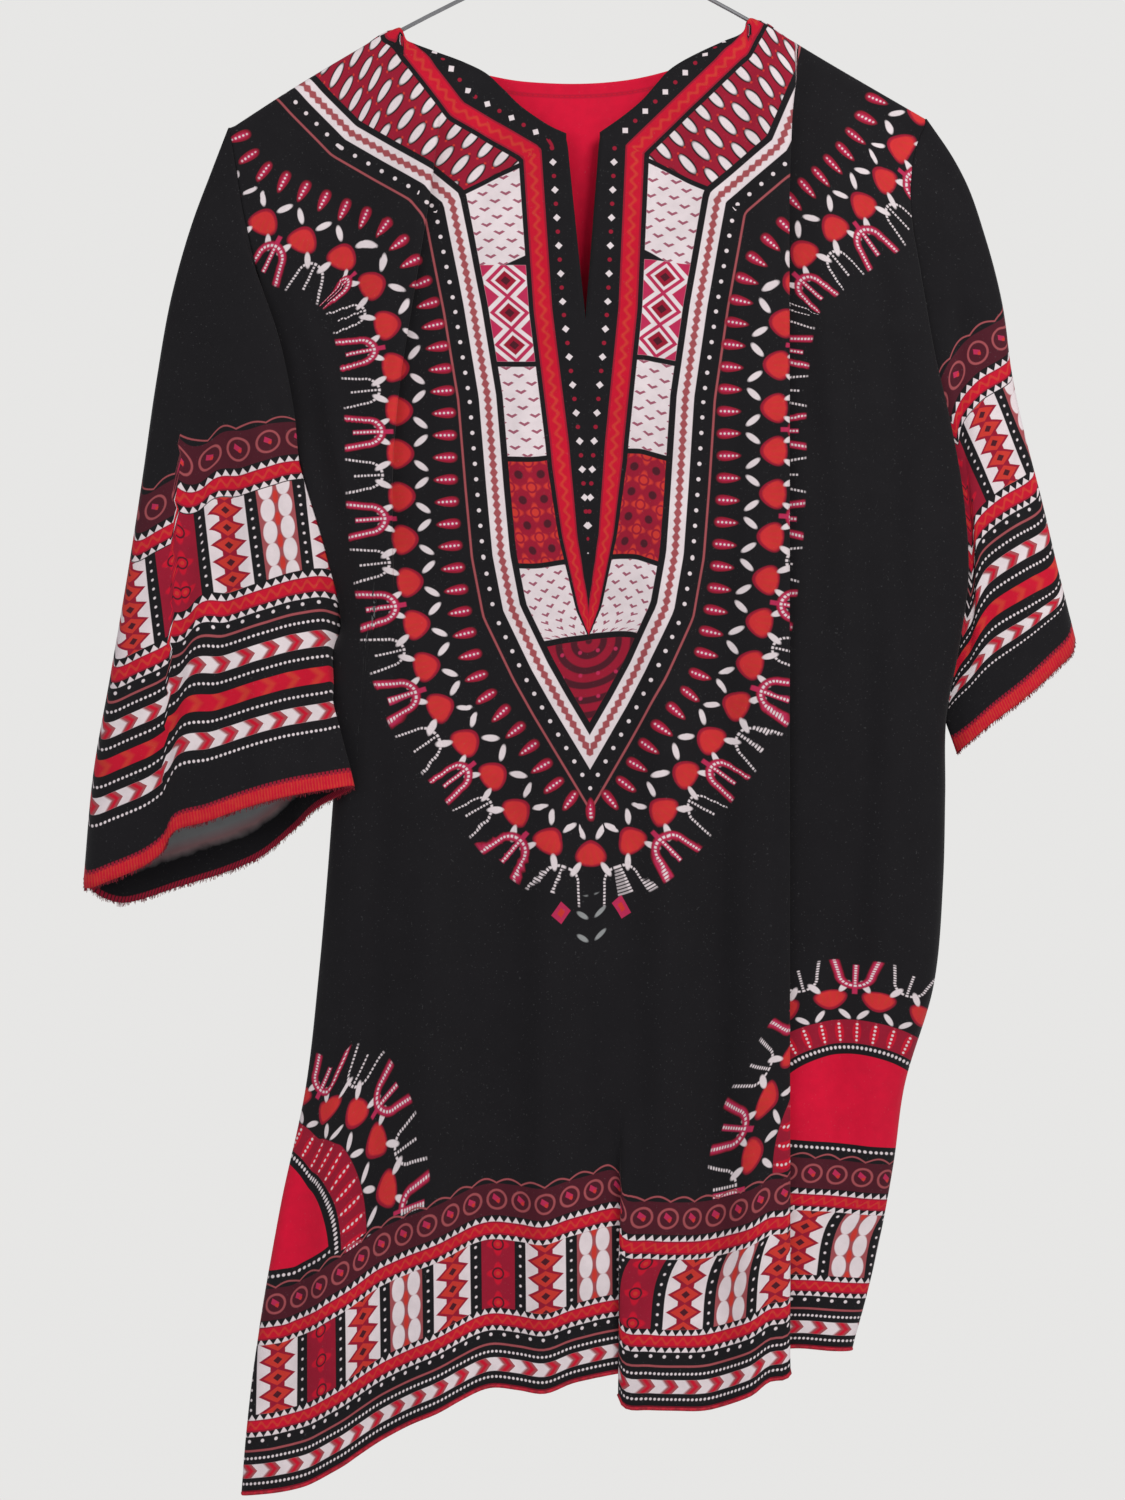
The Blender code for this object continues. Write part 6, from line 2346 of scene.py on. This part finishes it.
@dataclass
class Studio:
    """A pale floor, soft lights and the camera that looks as the photograph does."""

    camera_place: tuple = (-0.0156, -2.0, -0.5398)
    lens: float = 84.5
    floor_down: float = 1.36
    floor_radius: float = 1.7
    backdrop: tuple = (0.80, 0.795, 0.785)
    daylight: tuple = (0.42, 0.42, 0.43)
    key_power: float = 24.0
    fill_power: float = 5.0

    def floor(self) -> None:
        """A pale round floor well below the shirt."""
        bpy.ops.object.select_all(action="DESELECT")
        bpy.ops.mesh.primitive_circle_add(vertices=96, radius=self.floor_radius, fill_type="NGON")
        disc = bpy.context.object
        disc.name = "studio_floor"
        for corner in disc.data.vertices:
            corner.co.z -= self.floor_down
        desk = Desk("studio_floor")
        shade = desk.blend((0.62, 0.62, 0.63), (0.70, 0.70, 0.71), desk.speckle(3.0, 2.0))
        desk.feed(desk.shader.inputs["Base Color"], shade)
        desk.feed(desk.shader.inputs["Roughness"], 0.9)
        disc.data.materials.append(desk.material)

    def light(self, name: str, place: tuple, size: float, power: float, colour: tuple) -> None:
        """An area light that looks at the shirt's middle.

        Args:
            name: The light's name.
            place: Where it stands.
            size: Its side.
            power: Its power in watts.
            colour: Its colour.
        """
        lamp = bpy.data.lights.new(name, "AREA")
        lamp.shape = "SQUARE"
        lamp.size = size
        lamp.energy = power
        lamp.color = colour
        item = bpy.data.objects.new(name, lamp)
        item.location = place
        aim = Vector((0, 0, -0.5)) - Vector(place)
        item.rotation_euler = aim.to_track_quat("-Z", "Y").to_euler()
        bpy.context.collection.objects.link(item)

    def shoot(self) -> None:
        """Place the camera, the lights and the world."""
        lens = bpy.data.cameras.new("photo_camera")
        lens.sensor_fit = "AUTO"
        lens.sensor_width = 36.0
        lens.lens = self.lens
        camera = bpy.data.objects.new("photo_camera", lens)
        camera.location = self.camera_place
        camera.rotation_euler = (math.pi / 2, 0, 0)
        bpy.context.collection.objects.link(camera)
        bpy.context.scene.camera = camera
        self.light("key", (0.95, -1.5, 0.75), 0.9, self.key_power, (1.0, 0.985, 0.965))
        self.light("fill", (-1.3, -1.6, -0.2), 1.2, self.fill_power, (0.97, 0.98, 1.0))
        self.light("back", (0.4, 1.9, 0.4), 1.2, self.key_power * 0.7, (1.0, 1.0, 1.0))
        self.surround()

    def surround(self) -> None:
        """A pale backdrop for the camera and a softer daylight for the cloth."""
        world = bpy.context.scene.world or bpy.data.worlds.new("studio")
        bpy.context.scene.world = world
        world.use_nodes = True
        tree = world.node_tree
        tree.nodes.clear()
        seen = tree.nodes.new("ShaderNodeBackground")
        seen.inputs[0].default_value = (*self.backdrop, 1.0)
        lit = tree.nodes.new("ShaderNodeBackground")
        lit.inputs[0].default_value = (*self.daylight, 1.0)
        ray = tree.nodes.new("ShaderNodeLightPath")
        either = tree.nodes.new("ShaderNodeMixShader")
        tree.links.new(ray.outputs["Is Camera Ray"], either.inputs[0])
        tree.links.new(lit.outputs[0], either.inputs[1])
        tree.links.new(seen.outputs[0], either.inputs[2])
        out = tree.nodes.new("ShaderNodeOutputWorld")
        tree.links.new(either.outputs[0], out.inputs[0])
        bpy.context.scene.view_settings.view_transform = "Standard"


@dataclass
class Hanger:
    """The bent wire of the hanger, whose solids are kept and dressed."""

    nodes: tuple = ("hanger_hook", "hanger_arm_left", "hanger_arm_right", "hanger_bar")

    def wire(self) -> Material:
        """Dull drawn steel with fine scratches and a few dark specks."""
        desk = Desk("grey_wire_surface")
        grain = desk.speckle(260.0, 3.0)
        specks = desk.speckle(900.0, 2.0).above(0.66, 0.08)
        tone = desk.blend((0.44, 0.44, 0.45), (0.30, 0.30, 0.31), grain)
        colour = desk.blend(tone, (0.08, 0.07, 0.06), specks * 0.5)
        desk.feed(desk.shader.inputs["Metallic"], 0.9)
        return desk.surface(colour, grain * 0.18 + 0.27, grain, 0.2, 0.0001)

    def dress(self) -> None:
        """Give every wire its surface."""
        surface = self.wire()
        for name in self.nodes:
            for item in bpy.data.objects:
                if item.type == "MESH" and item.name.startswith(name):
                    item.data.materials.clear()
                    item.data.materials.append(surface)


def cloth_area(piece: Object) -> float:
    """The area of one side of a cloth object's sheet."""
    return sum(face.area for face in piece.data.polygons)


def declare(piece: Object, node: str, area: float) -> None:
    """Log a cloth piece's areas, hide the solid of the node that it stands for, and attach it to the root
    body.

    Args:
        piece: The object.
        node: The node that it stands for.
        area: Its flat area, in square metres.
    """
    LOG.info("%s: sheet %.4f m2, flat %.4f m2", node, cloth_area(piece), area)
    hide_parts(node)
    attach(piece, "root")


def main() -> None:
    """Build the whole look."""
    logging.basicConfig(level=logging.INFO)
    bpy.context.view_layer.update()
    prints = Prints()
    neck = prints.neck()
    hem = prints.hem()
    wrong = prints.wrong_side()
    sleeve_wrong = prints.sleeve_wrong_side()
    body = ShirtBody()
    front = body.build_front([neck, hem, wrong, wrong])
    back = body.build_back([neck, hem, wrong, wrong])
    facing = body.build_facing([prints.facing()])
    left = Sleeve(
        "left", UNDERARM_LEFT, CUFF_LEFT_FRONT, CUFF_LEFT_BACK, 1, UNDERARM_GUIDE, LEFT_SLEEVE_CREASES, 0.12
    )
    right = Sleeve(
        "right", UNDERARM_RIGHT, CUFF_RIGHT_FRONT, CUFF_RIGHT_BACK, 0, None, RIGHT_SLEEVE_CREASES, 0.42
    )
    sleeve_left = left.build(body, [prints.sleeve(174.6, "left_sleeve_print"), sleeve_wrong])
    sleeve_right = right.build(body, [prints.sleeve(-161.4, "right_sleeve_print"), sleeve_wrong])
    declare(front, "front", 0.325)
    declare(back, "back", 0.285)
    declare(sleeve_left, "sleeve_left", 0.085)
    declare(sleeve_right, "sleeve_right", 0.034)
    declare(facing, "neck_facing", 0.03)
    trims = Trims()
    red_thread = trims.thread_material("red_thread", Dye.RED)
    dark_thread = trims.thread_material("dark_red_thread", Dye.CRIMSON)
    made = [
        trims.hem("front_hem_roll", body.fine_front[:, -1], red_thread),
        trims.hem("back_hem_roll", body.fine_back[:, -1], red_thread),
        trims.fringe("left_cuff_fringe", left.cuff, left.cuff_inner, dark_thread, 1500, 1.5),
        trims.fringe("right_cuff_fringe", right.cuff, right.cuff_inner, dark_thread, 1300, 1.4),
    ]
    for piece, slot in zip(made, ("red_cotton", "red_cotton", "border_cotton", "border_cotton")):
        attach(piece, "root")
    Hanger().dress()
    studio = Studio()
    studio.floor()
    studio.shoot()


if __name__ == "__main__":
    main()
